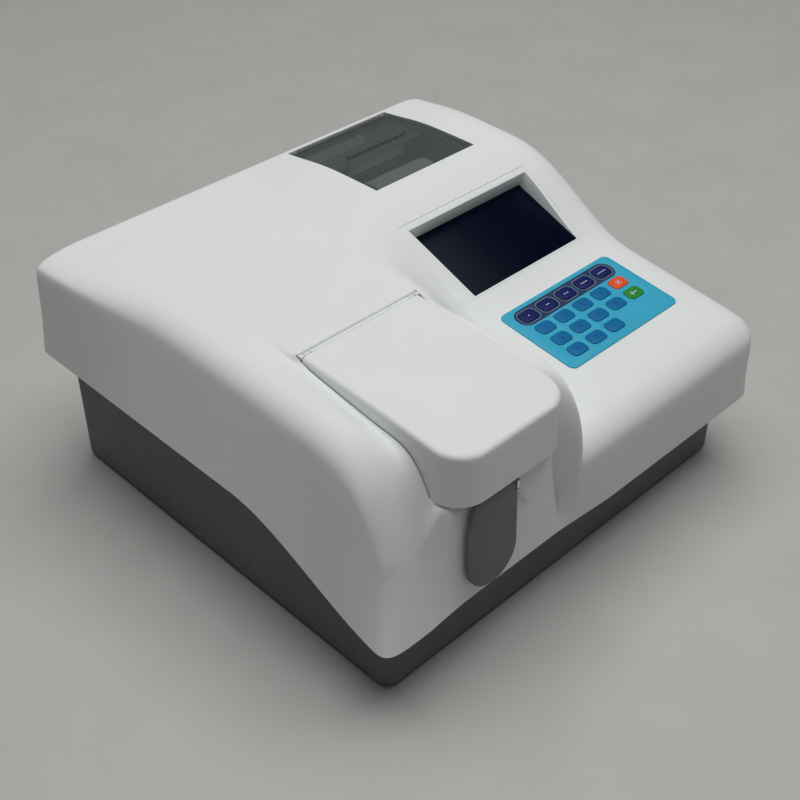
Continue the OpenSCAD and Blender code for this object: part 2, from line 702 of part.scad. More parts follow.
// Sample well under the lid
liner = 2;
well_y0 = front_y + front_set + wall + 0.6;
well_in0 = well_x0 - 1;
well_in1 = lid_x1 - wall - 1 - liner;
arm_h = 9;
arm_top = roof_z(seam_y) - wall - 0.6;
module sample_well() {
    low = wall + 2;
    front_top = nose_h - gap - low;
    rear_top = arm_top - arm_h - 0.8;
    function edge_z(y, right) = min(
        max(nose_h - gap, right ? foot_z(y) : groove_z(y - 6)) - low, y > seam_y - 12 ? rear_top : case_h
    );
    x0 = well_in0 - liner;
    x1 = well_in1 + liner;
    y1 = seam_y + liner;
    corner_x0 = well_x0 + nose_corner + 2;
    corner_x1 = well_x1 - nose_corner - 1;
    corner_y0 = well_y0 + 10;
    corner_y1 = well_y0 + 11;
    module cheek(x, y0, right) {
        along_x(x - 0.1, x + liner + 0.1) polygon(concat(
            [[y0 + 1, well_z - liner], [y0 + 1, front_top - 6]],
            [for (y = case_ys) if (y > y0 + 3 && y < seam_y - 1) [y, edge_z(y, right)]],
            [[seam_y + 1, rear_top], [seam_y + 1, well_z - liner]]
        ));
    }
    module upright(low, high) { translate([0, 0, low]) linear_extrude(high - low) children(); }
    color("whitesmoke") difference() {
        union() {
            cheek(x0, corner_y0, false);
            cheek(well_in1, corner_y1, true);
            upright(well_z - liner, front_top - 5) polygon([
                [x0, corner_y0], [corner_x0, well_y0], [corner_x1, well_y0], [x1, corner_y1],
                [x1, corner_y1 + liner], [well_in1, corner_y1 + liner], [corner_x1 - 1, well_y0 + liner],
                [corner_x0 + 1, well_y0 + liner], [well_in0, corner_y0 + liner], [x0, corner_y0 + liner]
            ]);
            block([x0, seam_y, well_z - liner], [x1, y1, arm_top - arm_h - 0.4]);
            upright(well_z - liner, well_z)
                polygon([
                    [x0, corner_y0], [corner_x0, well_y0], [corner_x1, well_y0], [x1, corner_y1], [x1, y1],
                    [x0, y1]
                ]);
        }
        rod_z(well_z - liner - 1, well_z + 1, [axis_x, cell_y], cell_cap_r + 0.5);
    }
}

// Sample lid, a thick skin whose nose is rounded in plan, and its hinge along the seam
tube_r = 1.7;
pin_r = 0.85;
pin_play = 0.05;
ear_w = 5;
ear_in = wall + 0.6;
hinge_y = seam_y - 0.6 - tube_r;
hinge_z = roof_z(seam_y) - tube_r;
hinge_at = [hinge_y, hinge_z];
lid_rear = hinge_y - tube_r - fit;
lid_edge = 3.5;
lid_dip = 6;
lid_round = 3;
lid_rings = lid_round + 3;
lid_xs = concat(steps(lid_x0 + lid_r, lid_x1 - lid_r, 3), [lid_x1 - lid_r]);
lid_ys = concat(steps(lid_front + lid_r, lid_rear, 7), [lid_rear]);
function skirt_z(y, right) = max(nose_h, (right ? foot_z(y) : groove_z(y)) - lid_dip);
function lid_point(i, j) =
    let (
        nx = len(lid_xs),
        a = max(0, lid_rings - i, i - lid_rings - nx + 1),
        b = max(0, lid_rings - j),
        right = 2 * i > nx + 2 * lid_rings - 1,
        k = max(a, b),
        gx = lid_xs[min(max(i - lid_rings, 0), nx - 1)],
        gy = lid_ys[max(j - lid_rings, 0)],
        turn = k == 0 ? 0 : a >= b ? 45 * b / a : 90 - 45 * a / b,
        arc = 90 * min(max(k - 1, 0), lid_round) / lid_round,
        reach = k == 0 ? 0 : lid_r - lid_edge + lid_edge * sin(arc),
        f = max(0, k - lid_round - 1) / 2,
        x = gx + (right ? 1 : -1) * cos(turn) * reach,
        y = gy - sin(turn) * reach,
        top = roof_z(y) - lid_edge * (1 - cos(arc))
    )
    [x, y, mix(top, skirt_z(y, right), f)];
module sample_lid() {
    nx = len(lid_xs) + 2 * lid_rings;
    ny = len(lid_ys) + lid_rings;
    points = [for (i = [0:nx - 1]) [for (j = [0:ny - 1]) lid_point(i, j)]];
    color("white") skin(points, wall, function (i, j) false);
}
module lid_hinge_tube() {
    module knuckle(x0, x1) {
        rod_x(x0, x1, hinge_at, tube_r);
        block([x0, lid_rear + 0.1, hinge_z], [x1, hinge_y, hinge_z + tube_r - 0.02]);
    }
    color("white") difference() {
        union() {
            knuckle(lid_x0, lid_x0 + wall);
            knuckle(lid_x0 + ear_in + ear_w, lid_x1 - ear_in - ear_w);
            knuckle(lid_x1 - wall, lid_x1);
        }
        rod_x(lid_x0 - 1, lid_x1 + 1, hinge_at, pin_r + pin_play);
    }
}
module lid_hinge_pin() {
    color("silver") {
        rod_x(lid_x0 + fit, lid_x1 - fit, hinge_at, pin_r);
        for (x = [lid_x0 + ear_in, lid_x1 - ear_in - ear_w + fit]) {
            rod_x(x, x + ear_w - fit, hinge_at, tube_r);
            block([x, hinge_y, arm_top - arm_h], [x + ear_w - fit, hinge_y + tube_r, hinge_z]);
            block([x, hinge_y, arm_top - arm_h], [x + ear_w - fit, seam_y + 16, arm_top]);
        }
    }
}

// Sipper beside the paddle: a steel tube in a holder on the rim, and a thin soft tip
sip_x = lid_x + 5.5;
sip_y = front_y + front_set - 2.3;
sip_r = 0.9;
sip_low = nose_h - 14;
tip_l = 19;
module sipper_tube() {
    rim_z = nose_h - gap;
    color("silver") difference() {
        union() {
            rod_z(sip_low, rim_z + 8, [sip_x, sip_y], sip_r);
            block([sip_x - 4, sip_y - sip_r, rim_z + 0.1], [sip_x + 4, well_y0 + liner, rim_z + 6]);
        }
        rod_z(sip_low - 1, rim_z + 9, [sip_x, sip_y], 0.5);
    }
    color("lightgray") translate([sip_x, sip_y, sip_low - 0.7]) rotate([0, 145, 0]) difference() {
        cylinder(r1 = sip_r, r2 = 0.7, h = tip_l, $fn = 32);
        translate([0, 0, 1]) cylinder(r = 0.4, h = tip_l, $fn = 32);
    }
}

// Aspirating paddle, hung on a pin behind its top edge, parallel to the wall under the nose
wall_top = nose_h - gap;
wall_slope = (front_set - front_tuck - front_set * tuck_share) / (wall_top - part_front);
function wall_y(z) = front_y + front_set - wall_slope * (wall_top - z);
paddle_x = lid_x - 18.5;
paddle_t = 2.7;
paddle_gap = 2.45;
paddle_top = nose_h - 2;
paddle_low = part_front + 8;
pivot_r = 0.75;
pivot_in = 1.15;
pivot_z = paddle_top - 5;
module on_wall() {
    translate([paddle_x, wall_y(pivot_z), pivot_z]) rotate([-atan(wall_slope), 0, 0]) children();
}
module aspirate_paddle() {
    drop = pivot_z - paddle_low - paddle_w / 2;
    color("dimgray") on_wall() difference() {
        union() {
            along_y(-paddle_gap - paddle_t, -paddle_gap) {
                translate([-paddle_w / 2, -drop]) square([paddle_w, drop + paddle_top - pivot_z]);
                translate([0, -drop]) circle(paddle_w / 2, $fn = 96);
            }
            for (x = [-8, 8]) {
                rod_x(x - 3, x + 3, [-pivot_in, 0], pivot_r + 0.35);
                block([x - 3, -paddle_gap - 0.5, -1.1], [x + 3, -pivot_in, 1.1]);
            }
        }
        rod_x(-12, 12, [-pivot_in, 0], pivot_r + pin_play);
    }
}
module paddle_bracket() {
    color("gray") on_wall() {
        rod_x(-14, 14, [-pivot_in, 0], pivot_r);
        for (x = [-14, 11.5]) block([x, -pivot_in - 1, -2], [x + 2.5, -0.1, 2]);
    }
}
module paddle_switch() {
    color("black") on_wall() block([-9, -1.1, -26], [9, -0.1, -16]);
}

// Display: a bezel let into the slope, the glass and the module behind it
glass_t = 2;
glass_lap = 0.8;
glass_sunk = 0.8;
screen_lip = 2;
screen_d = (bezel_d - 2 * screen_lip) / cos(screen_tilt);
function screen_plane(y) =
    console_z(bezel_y0 + screen_lip) - glass_sunk + (y - bezel_y0 - screen_lip) * tan(screen_tilt);
module on_screen() {
    translate([screen_x, screen_y, screen_plane(screen_y)]) rotate([screen_tilt, 0, 0]) children();
}
module display_bezel() {
    y0 = bezel_y0 + fit;
    y1 = bezel_y1 - fit;
    ys = concat(steps(y0, y1, 6), [y1]);
    w = screen_w / 2;
    d = screen_d / 2;
    under = glass_t + 2;
    slant = wall * sin(screen_tilt) + 0.6;
    tall = 34;
    left = 0.9 * tall;
    color("whitesmoke") difference() {
        along_x(bezel_x0 + fit, bezel_x1 - fit) polygon(concat(
            [for (y = ys) [y, console_z(y) - 0.1]], [for (y = [y1, y0 + slant]) [y, screen_plane(y) - under]]
        ));
        on_screen() {
            polyhedron(
                points = [
                    [-w, -d, 0], [w, -d, 0],
                    [w, d, 0], [-w, d, 0],
                    [-w - left, -d - 8, tall], [w + 8, -d - 8, tall],
                    [w + 8, d + 4, tall], [-w - left, d + 4, tall]
                ],
                faces = [[0, 1, 2, 3], [7, 6, 5, 4], [0, 4, 5, 1], [1, 5, 6, 2], [2, 6, 7, 3], [3, 7, 4, 0]]
            );
            block([-w - 1, -d - 1, -glass_t - 0.1], [w + 1, d + 1, 0.1]);
            block([-w + 3, -d + 3, -12], [w - 3, d - 3, 1]);
        }
    }
}
module display_glass() {
    w = screen_w / 2 + glass_lap;
    d = screen_d / 2 + glass_lap;
    color("midnightblue") on_screen() block([-w, -d, -glass_t], [w, d, 0]);
}
module display_module() {
    w = screen_w / 2;
    d = screen_d / 2;
    color("darkgreen") on_screen() {
        translate([0, 0, -glass_t - 12]) linear_extrude(1.6) slab([-w - 3, -d - 2], [w + 3, d + 2], 2);
        block([-w + 3.3, -d + 3.3, -glass_t - 11], [w - 3.3, d - 3.3, -glass_t - 0.3]);
    }
}

// Keypad: an overlay on the desk, keys in its holes and a board under it
overlay_t = 0.8;
key_d = 10;
key_r = 3.4;
key_gap = 0.25;
key_proud = 0.5;
key_stem = 3.5;
key_rows = [21.5, 6.4, -7.5, -21.4];
// Column and row of every key: five function keys, two rows of five and a row of three
key_places = concat(
    [for (r = [0:2]) each [for (c = [0:4]) [c, r]]],
    [for (c = [0:2]) [c, 3]]
);
function key_at(n) = [(key_places[n][0] - 2) * key_pitch, key_rows[key_places[n][1]]];
module on_desk() { translate([console_x, key_y, desk_h]) rotate([key_tilt, 0, 0]) children(); }
module key_outline(n, grow) {
    half = [key_w / 2 + grow, key_d / 2 + grow];
    slab(key_at(n) - half, key_at(n) + half, key_r + grow);
}
module keypad_overlay() {
    color("skyblue") on_desk() translate([0, 0, 0.05]) linear_extrude(overlay_t) difference() {
        slab([-keypad_w / 2, -keypad_d / 2], [keypad_w / 2, keypad_d / 2], 5);
        for (n = [0:len(key_places) - 1]) key_outline(n, key_gap);
    }
}
module key(n, tint) {
    color(tint) on_desk() {
        translate([0, 0, -0.4]) linear_extrude(0.4 + overlay_t + key_proud) key_outline(n, 0);
        rod_z(-key_stem, 0, key_at(n), 2.5);
    }
}
module keypad_board() {
    top = -key_stem - key_travel - 0.2;
    color("darkgreen") on_desk() {
        translate([0, 0, top - 1.6]) linear_extrude(1.6)
            slab([-keypad_w / 2 + 1, -keypad_d / 2 + 3], [keypad_w / 2 - 1, keypad_d / 2 - 6], 2);
        for (x = [-1, 1], y = [-20, 20])
            rod_z(top - 0.5, -wall - 0.1, [x * (keypad_w / 2 - key_ledge / 2), y], 2);
    }
}

// Printer behind the display: a frame with the paper well, the mechanism and the smoked cover
cover_t = 2.4;
cover_gap = 0.6;
lip_t = 1;
lip_h = 4;
bucket_t = 1.8;
bucket_x0 = cover_x0 + 2;
bucket_x1 = cover_x1 - 2;
bucket_y0 = cover_y0 + 1;
bucket_y1 = cover_y1 - 9;
bucket_z0 = case_h - 56;
bucket_drop = cover_t + 1.2;
print_x = (cover_x0 + cover_x1) / 2;
paper_w = 57;
roll_y = bucket_y0 + bucket_t + roll_r + 3;
roll_z = bucket_z0 + bucket_t + roll_r + fit;
roll_at = [roll_y, roll_z];
platen_r = 5;
axle_r = 2;
platen_y = roll_y + roll_r + 14;
platen_z = console_z(platen_y) - cover_t - 12;
platen_at = [platen_y, platen_z];
cover_hinge_y = cover_y1 - cover_gap - tube_r;
cover_hinge_z = console_z(cover_hinge_y) - tube_r;
cover_hinge_at = [cover_hinge_y, cover_hinge_z];
cover_rear = cover_hinge_y - tube_r - fit;
function stations(y0, y1, n) = concat(steps(y0, y1, n), [y1]);
module printer_frame() {
    ys = stations(bucket_y0, bucket_y1, 8);
    tab_y = (bucket_y0 + bucket_y1) / 2 - 8;
    tab_z = min(console_z(tab_y), console_z(tab_y + 16)) - wall - fit;
    color("darkslategray") difference() {
        union() {
            difference() {
                along_x(bucket_x0, bucket_x1) polygon(concat(
                    [for (y = ys) [y, console_z(y) - bucket_drop]],
                    [[bucket_y1, bucket_z0], [bucket_y0, bucket_z0]]
                ));
                block(
                    [bucket_x0 + bucket_t, bucket_y0 + bucket_t, bucket_z0 + bucket_t],
                    [bucket_x1 - bucket_t, bucket_y1 - bucket_t, case_h + 1]
                );
            }
            for (x = [print_x - paper_w / 2 - 4, print_x + paper_w / 2 + 1])
                block([x, bucket_y0 + 1, bucket_z0 + 1], [x + 3, platen_y - 12, roll_z]);
            for (x = [bucket_x0 - 7, bucket_x1 - 0.5])
                block([x, tab_y, tab_z - 10], [x + 7.5, tab_y + 16, tab_z - 7]);
            for (x = [bucket_x0 - 7, bucket_x1 + 3])
                block([x, tab_y, tab_z - 10], [x + 4, tab_y + 16, tab_z]);
            for (x = [bucket_x0 + 0.5, bucket_x1 - ear_w]) {
                rod_x(x, x + ear_w - 0.5, cover_hinge_at, tube_r);
                block(
                    [x, cover_hinge_y - tube_r, cover_hinge_z - 13],
                    [x + ear_w - 0.5, cover_hinge_y + tube_r, cover_hinge_z]
                );
                block(
                    [x, bucket_y1 - 0.5, cover_hinge_z - 16],
                    [x + ear_w - 0.5, cover_hinge_y + tube_r, cover_hinge_z - 11]
                );
            }
        }
        rod_x(bucket_x0 - 1, bucket_x1 + 1, platen_at, axle_r + shaft_play);
        rod_x(bucket_x0 - 1, bucket_x1 + 1, cover_hinge_at, pin_r + 0.01);
    }
}
module cover_hinge_pin() {
    color("silver") rod_x(bucket_x0 + 0.5, bucket_x1 - 0.5, cover_hinge_at, pin_r);
}
module printer_cover() {
    x0 = cover_x0 + cover_gap;
    x1 = cover_x1 - cover_gap;
    ys = stations(cover_y0 + cover_gap, cover_rear, 8);
    n = len(ys) - 1;
    module arch(drop, thick) {
        polygon(concat(
            [for (y = ys) [y, console_z(y) - drop]],
            [for (k = [0:n]) [ys[n - k], console_z(ys[n - k]) - drop - thick]]
        ));
    }
    color("gray", 0.6) difference() {
        union() {
            along_x(x0, x1) arch(0, cover_t);
            for (x = [x0, x1 - lip_t]) along_x(x, x + lip_t) arch(cover_t - 0.4, lip_h);
            rod_x(bucket_x0 + ear_w + 0.5, bucket_x1 - ear_w - 0.5, cover_hinge_at, tube_r);
            block(
                [bucket_x0 + ear_w + 0.5, cover_rear - 0.5, cover_hinge_z - 0.4],
                [bucket_x1 - ear_w - 0.5, cover_hinge_y, cover_hinge_z + tube_r - 0.1]
            );
        }
        rod_x(cover_x0, cover_x1, cover_hinge_at, pin_r + pin_play);
    }
}
module paper_roll() {
    color("white") difference() {
        rod_x(print_x - paper_w / 2, print_x + paper_w / 2, roll_at, roll_r);
        rod_x(print_x - paper_w, print_x + paper_w, roll_at, 6);
    }
}
module platen_roller() {
    color("black") {
        rod_x(print_x - paper_w / 2 - 1, print_x + paper_w / 2 + 1, platen_at, platen_r);
        rod_x(bucket_x0 - 0.5, bucket_x1 + 6, platen_at, axle_r);
    }
}
module print_head() {
    x0 = bucket_x0 + bucket_t + 0.1;
    x1 = bucket_x1 - bucket_t - 0.1;
    top = platen_z - platen_r - fit;
    half = paper_w / 2 + 2;
    color("silver") {
        block([x0, platen_y + 7, bucket_z0 + bucket_t], [x1, platen_y + 10, top]);
        block([print_x - half, platen_y - 6, top - 3], [print_x + half, platen_y + 8, top]);
        block([print_x - half, platen_y + 8, top - 1], [print_x + half, platen_y + 10, platen_z + 6]);
    }
}
module feed_motor() {
    color("gray") difference() {
        rod_x(bucket_x1 + 0.1, bucket_x1 + 16, platen_at, 7);
        rod_x(bucket_x1, bucket_x1 + 8, platen_at, axle_r + 0.1);
    }
}

upper_casing();
base_tray();
rubber_feet();
rear_panel();
panel_screws();
waste_nipple();
inlet_socket();
switch_housing();
power_rocker();
serial_port();
cooling_fan();
fan_rotor();
main_board();
power_supply();
optical_bench();
lamp_housing();
flow_cell();
filter_wheel();
filter_motor();
detector_board();
pump_body();
pump_rotor();
sample_well();
sample_lid();
lid_hinge_tube();
lid_hinge_pin();
sipper_tube();
aspirate_paddle();
paddle_bracket();
paddle_switch();
display_bezel();
display_glass();
display_module();
keypad_overlay();
keypad_board();
printer_frame();
cover_hinge_pin();
printer_cover();
paper_roll();
platen_roller();
print_head();
feed_motor();
key(0, "navy");  // function_key_1
key(1, "navy");  // function_key_2
key(2, "navy");  // function_key_3
key(3, "navy");  // function_key_4
key(4, "navy");  // function_key_5
key(5, "royalblue");  // number_key_1
key(6, "royalblue");  // number_key_2
key(7, "royalblue");  // number_key_3
key(8, "royalblue");  // number_key_4
key(9, "darkorange");  // clear_key
key(10, "royalblue");  // number_key_5
key(11, "royalblue");  // number_key_6
key(12, "royalblue");  // number_key_7
key(13, "royalblue");  // number_key_8
key(14, "seagreen");  // enter_key
key(15, "royalblue");  // number_key_9
key(16, "royalblue");  // number_key_0
key(17, "royalblue");  // point_key
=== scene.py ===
"""Looks of a bench-top chemistry analyser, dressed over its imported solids.

Every length is in metres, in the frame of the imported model: +Z is up and the front faces -Y.
"""

import json
import logging
import math
from dataclasses import dataclass, field
from enum import Enum

import bpy
from mathutils import Matrix, Vector


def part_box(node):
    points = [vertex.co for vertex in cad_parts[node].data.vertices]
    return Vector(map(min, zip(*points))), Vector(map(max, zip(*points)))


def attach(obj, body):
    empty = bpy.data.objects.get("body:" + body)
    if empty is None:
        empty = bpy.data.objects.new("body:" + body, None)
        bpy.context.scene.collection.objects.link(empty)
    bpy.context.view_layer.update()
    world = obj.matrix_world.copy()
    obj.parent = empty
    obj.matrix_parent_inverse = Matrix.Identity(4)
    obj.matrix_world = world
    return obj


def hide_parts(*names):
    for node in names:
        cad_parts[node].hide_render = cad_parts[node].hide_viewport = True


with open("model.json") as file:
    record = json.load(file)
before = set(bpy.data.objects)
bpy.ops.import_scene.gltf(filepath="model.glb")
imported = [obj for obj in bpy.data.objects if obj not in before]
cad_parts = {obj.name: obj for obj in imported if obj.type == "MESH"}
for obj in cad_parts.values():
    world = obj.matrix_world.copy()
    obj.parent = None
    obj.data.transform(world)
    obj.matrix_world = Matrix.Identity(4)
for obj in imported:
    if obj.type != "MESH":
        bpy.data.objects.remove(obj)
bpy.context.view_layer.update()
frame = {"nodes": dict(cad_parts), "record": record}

LOG = logging.getLogger("analyser")
MM = 0.001
Point = tuple[float, float, float]
Shade = tuple[int, int, int]
FILM_MIDDLE: Point = (89.5 * MM, -90.0 * MM, 125.0 * MM)
DESK_TILT = math.radians(7)
KEY_PITCH = 19.3 * MM
KEY_ROWS = (21.5 * MM, 6.4 * MM, -7.5 * MM, -21.4 * MM)
BODY_OF = {
    node: body
    for body, members in frame["record"]["behaviour"]["bodies"].items()
    for node in members
}


def linear(shade: Shade) -> tuple[float, float, float, float]:
    """Turns a display colour into the linear colour that shaders read.

    Args:
        shade: Red, green and blue from 0 to 255.

    Returns:
        The linear colour, with an alpha of 1.
    """
    parts = [s / 255 for s in shade]
    bent = [p / 12.92 if p <= 0.04045 else ((p + 0.055) / 1.055) ** 2.4 for p in parts]
    return (bent[0], bent[1], bent[2], 1.0)


class Wiring:
    """A shader tree under construction."""

    def __init__(self, tree: bpy.types.NodeTree) -> None:
        """Starts on an empty tree.

        Args:
            tree: The material's or group's node tree.
        """
        self.tree = tree
        tree.nodes.clear()

    def feed(self, socket: bpy.types.NodeSocket, value: object) -> None:
        """Links a socket to another, or sets its plain value.

        Args:
            socket: The input to set.
            value: An output socket, or the value itself.
        """
        if isinstance(value, bpy.types.NodeSocket):
            self.tree.links.new(value, socket)
        else:
            socket.default_value = value

    def add(self, kind: str, inputs: dict | None = None, **settings: object) -> bpy.types.Node:
        """Adds a node.

        Args:
            kind: The node's type, without its ShaderNode prefix.
            inputs: Values or sockets by the input's name or number.
            settings: Properties of the node.

        Returns:
            The new node.
        """
        node = self.tree.nodes.new(kind if kind.startswith("Node") else "ShaderNode" + kind)
        for name, value in settings.items():
            setattr(node, name, value)
        for key, value in (inputs or {}).items():
            self.feed(node.inputs[key], value)
        return node

    def math(self, operation: str, first: object, second: object = 0.0) -> bpy.types.NodeSocket:
        """Adds a Math node and returns its result."""
        return self.add("Math", {0: first, 1: second}, operation=operation).outputs[0]

    def vector(self, operation: str, first: object, second: object = (0, 0, 0)) -> bpy.types.Node:
        """Adds a Vector Math node and returns it."""
        return self.add("VectorMath", {0: first, 1: second}, operation=operation)

    def noise(self, vector: object, scale: object, detail: float = 3.0) -> bpy.types.NodeSocket:
        """Adds a noise and returns its value."""
        return self.add("TexNoise", {"Vector": vector, "Scale": scale, "Detail": detail}).outputs[0]

    def spread(self, value: object, low: object, high: object) -> bpy.types.NodeSocket:
        """Spreads the middle of a noise between two values and returns the result."""
        inputs = {"Value": value, "From Min": 0.3, "From Max": 0.7, "To Min": low, "To Max": high}
        return self.add("MapRange", inputs).outputs[0]

    def blend(self, share: object, first: object, second: object) -> bpy.types.NodeSocket:
        """Adds a mix of two colours and returns its result."""
        return self.add("Mix", {0: share, 6: first, 7: second}, data_type="RGBA").outputs[2]


class SharedGroup(Enum):
    """Effects that more than one material uses."""

    MOULDED = "moulded_surface"
    BRUSHED = "brushed_surface"
    PANEL = "rounded_panel"


def group_tree(kind: SharedGroup, inputs: dict[str, str], outputs: dict[str, str]) -> bpy.types.NodeTree:
    """Makes an empty shader group with named sockets.

    Args:
        kind: The effect, which names the group.
        inputs: Input names with their socket kinds.
        outputs: Output names with their socket kinds.

    Returns:
        The group's tree.
    """
    tree = bpy.data.node_groups.new(kind.value, "ShaderNodeTree")
    for names, way in ((inputs, "INPUT"), (outputs, "OUTPUT")):
        for name, sort in names.items():
            tree.interface.new_socket(name, in_out=way, socket_type="NodeSocket" + sort)
    return tree


SURFACE_INPUTS = {
    "Vector": "Vector",
    "Colour": "Color",
    "Drift": "Float",
    "Grain": "Float",
    "Roughness": "Float",
    "Smudge": "Float",
}
SURFACE_OUTPUTS = {"Colour": "Color", "Roughness": "Float", "Height": "Float"}


def surface_group(kind: SharedGroup) -> bpy.types.NodeTree:
    """Makes the group for moulded plastic or for brushed metal.

    Broad clouds shift the colour, smaller ones change the gloss as handling does, and a fine grain
    gives the height. Brushed metal has its grain drawn out into streaks.

    Args:
        kind: The effect to make.

    Returns:
        The group's tree.
    """
    tree = group_tree(kind, SURFACE_INPUTS, SURFACE_OUTPUTS)
    wires = Wiring(tree)
    source = wires.add("NodeGroupInput").outputs
    cloud_scale, smudge_scale = 14.0, 55.0
    low = wires.math("SUBTRACT", 1.0, source["Drift"])
    high = wires.math("ADD", 1.0, source["Drift"])
    value = wires.spread(wires.noise(source["Vector"], cloud_scale), low, high)
    colour = wires.add("HueSaturation", {"Value": value, "Color": source["Colour"]}).outputs[0]
    gloss = wires.spread(
        wires.noise(source["Vector"], smudge_scale, 5.0),
        wires.math("SUBTRACT", source["Roughness"], source["Smudge"]),
        wires.math("ADD", source["Roughness"], source["Smudge"]),
    )
    along = source["Vector"]
    if kind is SharedGroup.BRUSHED:
        along = wires.vector("MULTIPLY", along, (0.04, 1.0, 1.0)).outputs[0]
    grain = wires.noise(along, source["Grain"], 2.0)
    out = wires.add("NodeGroupOutput")
    for name, socket in (("Colour", colour), ("Roughness", gloss), ("Height", grain)):
        wires.feed(out.inputs[name], socket)
    return tree


def panel_group() -> bpy.types.NodeTree:
    """Makes the group that measures how far a point is outside a rounded rectangle.

    Returns:
        The group's tree.
    """
    inputs = {"Vector": "Vector", "Half": "Vector", "Radius": "Float"}
    tree = group_tree(SharedGroup.PANEL, inputs, {"Distance": "Float"})
    wires = Wiring(tree)
    source = wires.add("NodeGroupInput").outputs
    flat = wires.vector("MULTIPLY", source["Vector"], (1.0, 1.0, 0.0)).outputs[0]
    folded = wires.vector("ABSOLUTE", flat).outputs[0]
    over = wires.vector("SUBTRACT", folded, source["Half"]).outputs[0]
    beyond = wires.vector("MAXIMUM", over, (0.0, 0.0, 0.0)).outputs[0]
    length = wires.vector("LENGTH", beyond).outputs["Value"]
    out = wires.add("NodeGroupOutput")
    wires.feed(out.inputs["Distance"], wires.math("SUBTRACT", length, source["Radius"]))
    return tree


GROUPS = {
    SharedGroup.MOULDED: surface_group(SharedGroup.MOULDED),
    SharedGroup.BRUSHED: surface_group(SharedGroup.BRUSHED),
    SharedGroup.PANEL: panel_group(),
}


@dataclass(frozen=True)
class Finish:
    """A finish of the instrument: its slot in the record, its colour and its surface.

    Attributes:
        name: Name of the material.
        slot: The record's slot that it stands for.
        shade: Display colour.
        roughness: Middle roughness.
        smudge: How much the roughness changes over the surface.
        drift: Share by which the colour changes over the surface.
        grain: Size of the surface's grain.
        depth: Depth of the grain.
        metal: Whether it is bare metal.
        coat: Weight of a clear coat.
        clear: Share of light that passes through a see-through piece.
        specular: Strength of the plain reflection.
    """

    name: str
    slot: str
    shade: Shade
    roughness: float = 0.45
    smudge: float = 0.05
    drift: float = 0.03
    grain: float = 0.8 * MM
    depth: float = 0.02 * MM
    metal: bool = False
    coat: float = 0.0
    clear: float = 0.0
    specular: float = 0.5

    def surface(self, wires: Wiring, colour: object) -> dict[str, bpy.types.NodeSocket]:
        """Places the shared surface group.

        Args:
            wires: The material's tree.
            colour: The base colour, as a value or a socket.

        Returns:
            The group's outputs by name.
        """
        kind = SharedGroup.BRUSHED if self.metal else SharedGroup.MOULDED
        where = wires.add("TexCoord").outputs["Object"]
        group = wires.add("Group", node_tree=GROUPS[kind])
        values = {
            "Vector": where,
            "Colour": colour,
            "Drift": self.drift,
            "Grain": 1 / self.grain,
            "Roughness": self.roughness,
            "Smudge": self.smudge,
        }
        for name, value in values.items():
            wires.feed(group.inputs[name], value)
        return {socket.name: socket for socket in group.outputs}

    def print_on(self, wires: Wiring) -> object:
        """Returns the colour under the grain, which is plain unless the finish is printed."""
        return linear(self.shade)

    def material(self) -> bpy.types.Material:
        """Makes the material, once for each finish.

        Returns:
            The material.
        """
        made = bpy.data.materials.get(self.name)
        if made is not None:
            return made
        made = bpy.data.materials.new(self.name)
        made.use_nodes = True
        wires = Wiring(made.node_tree)
        given = self.surface(wires, self.print_on(wires))
        bump = wires.add("Bump", {"Strength": 1.0, "Distance": self.depth, "Height": given["Height"]})
        shader = wires.add(
            "BsdfPrincipled",
            {
                "Base Color": given["Colour"],
                "Roughness": given["Roughness"],
                "Normal": bump.outputs[0],
                "Metallic": 1.0 if self.metal else 0.0,
                "Coat Weight": self.coat,
                "Coat Roughness": 0.06,
                "Alpha": 1.0 - self.clear,
                "Specular IOR Level": self.specular,
            },
        )
        out = wires.add("OutputMaterial")
        wires.feed(out.inputs["Surface"], shader.outputs[0])
        return made


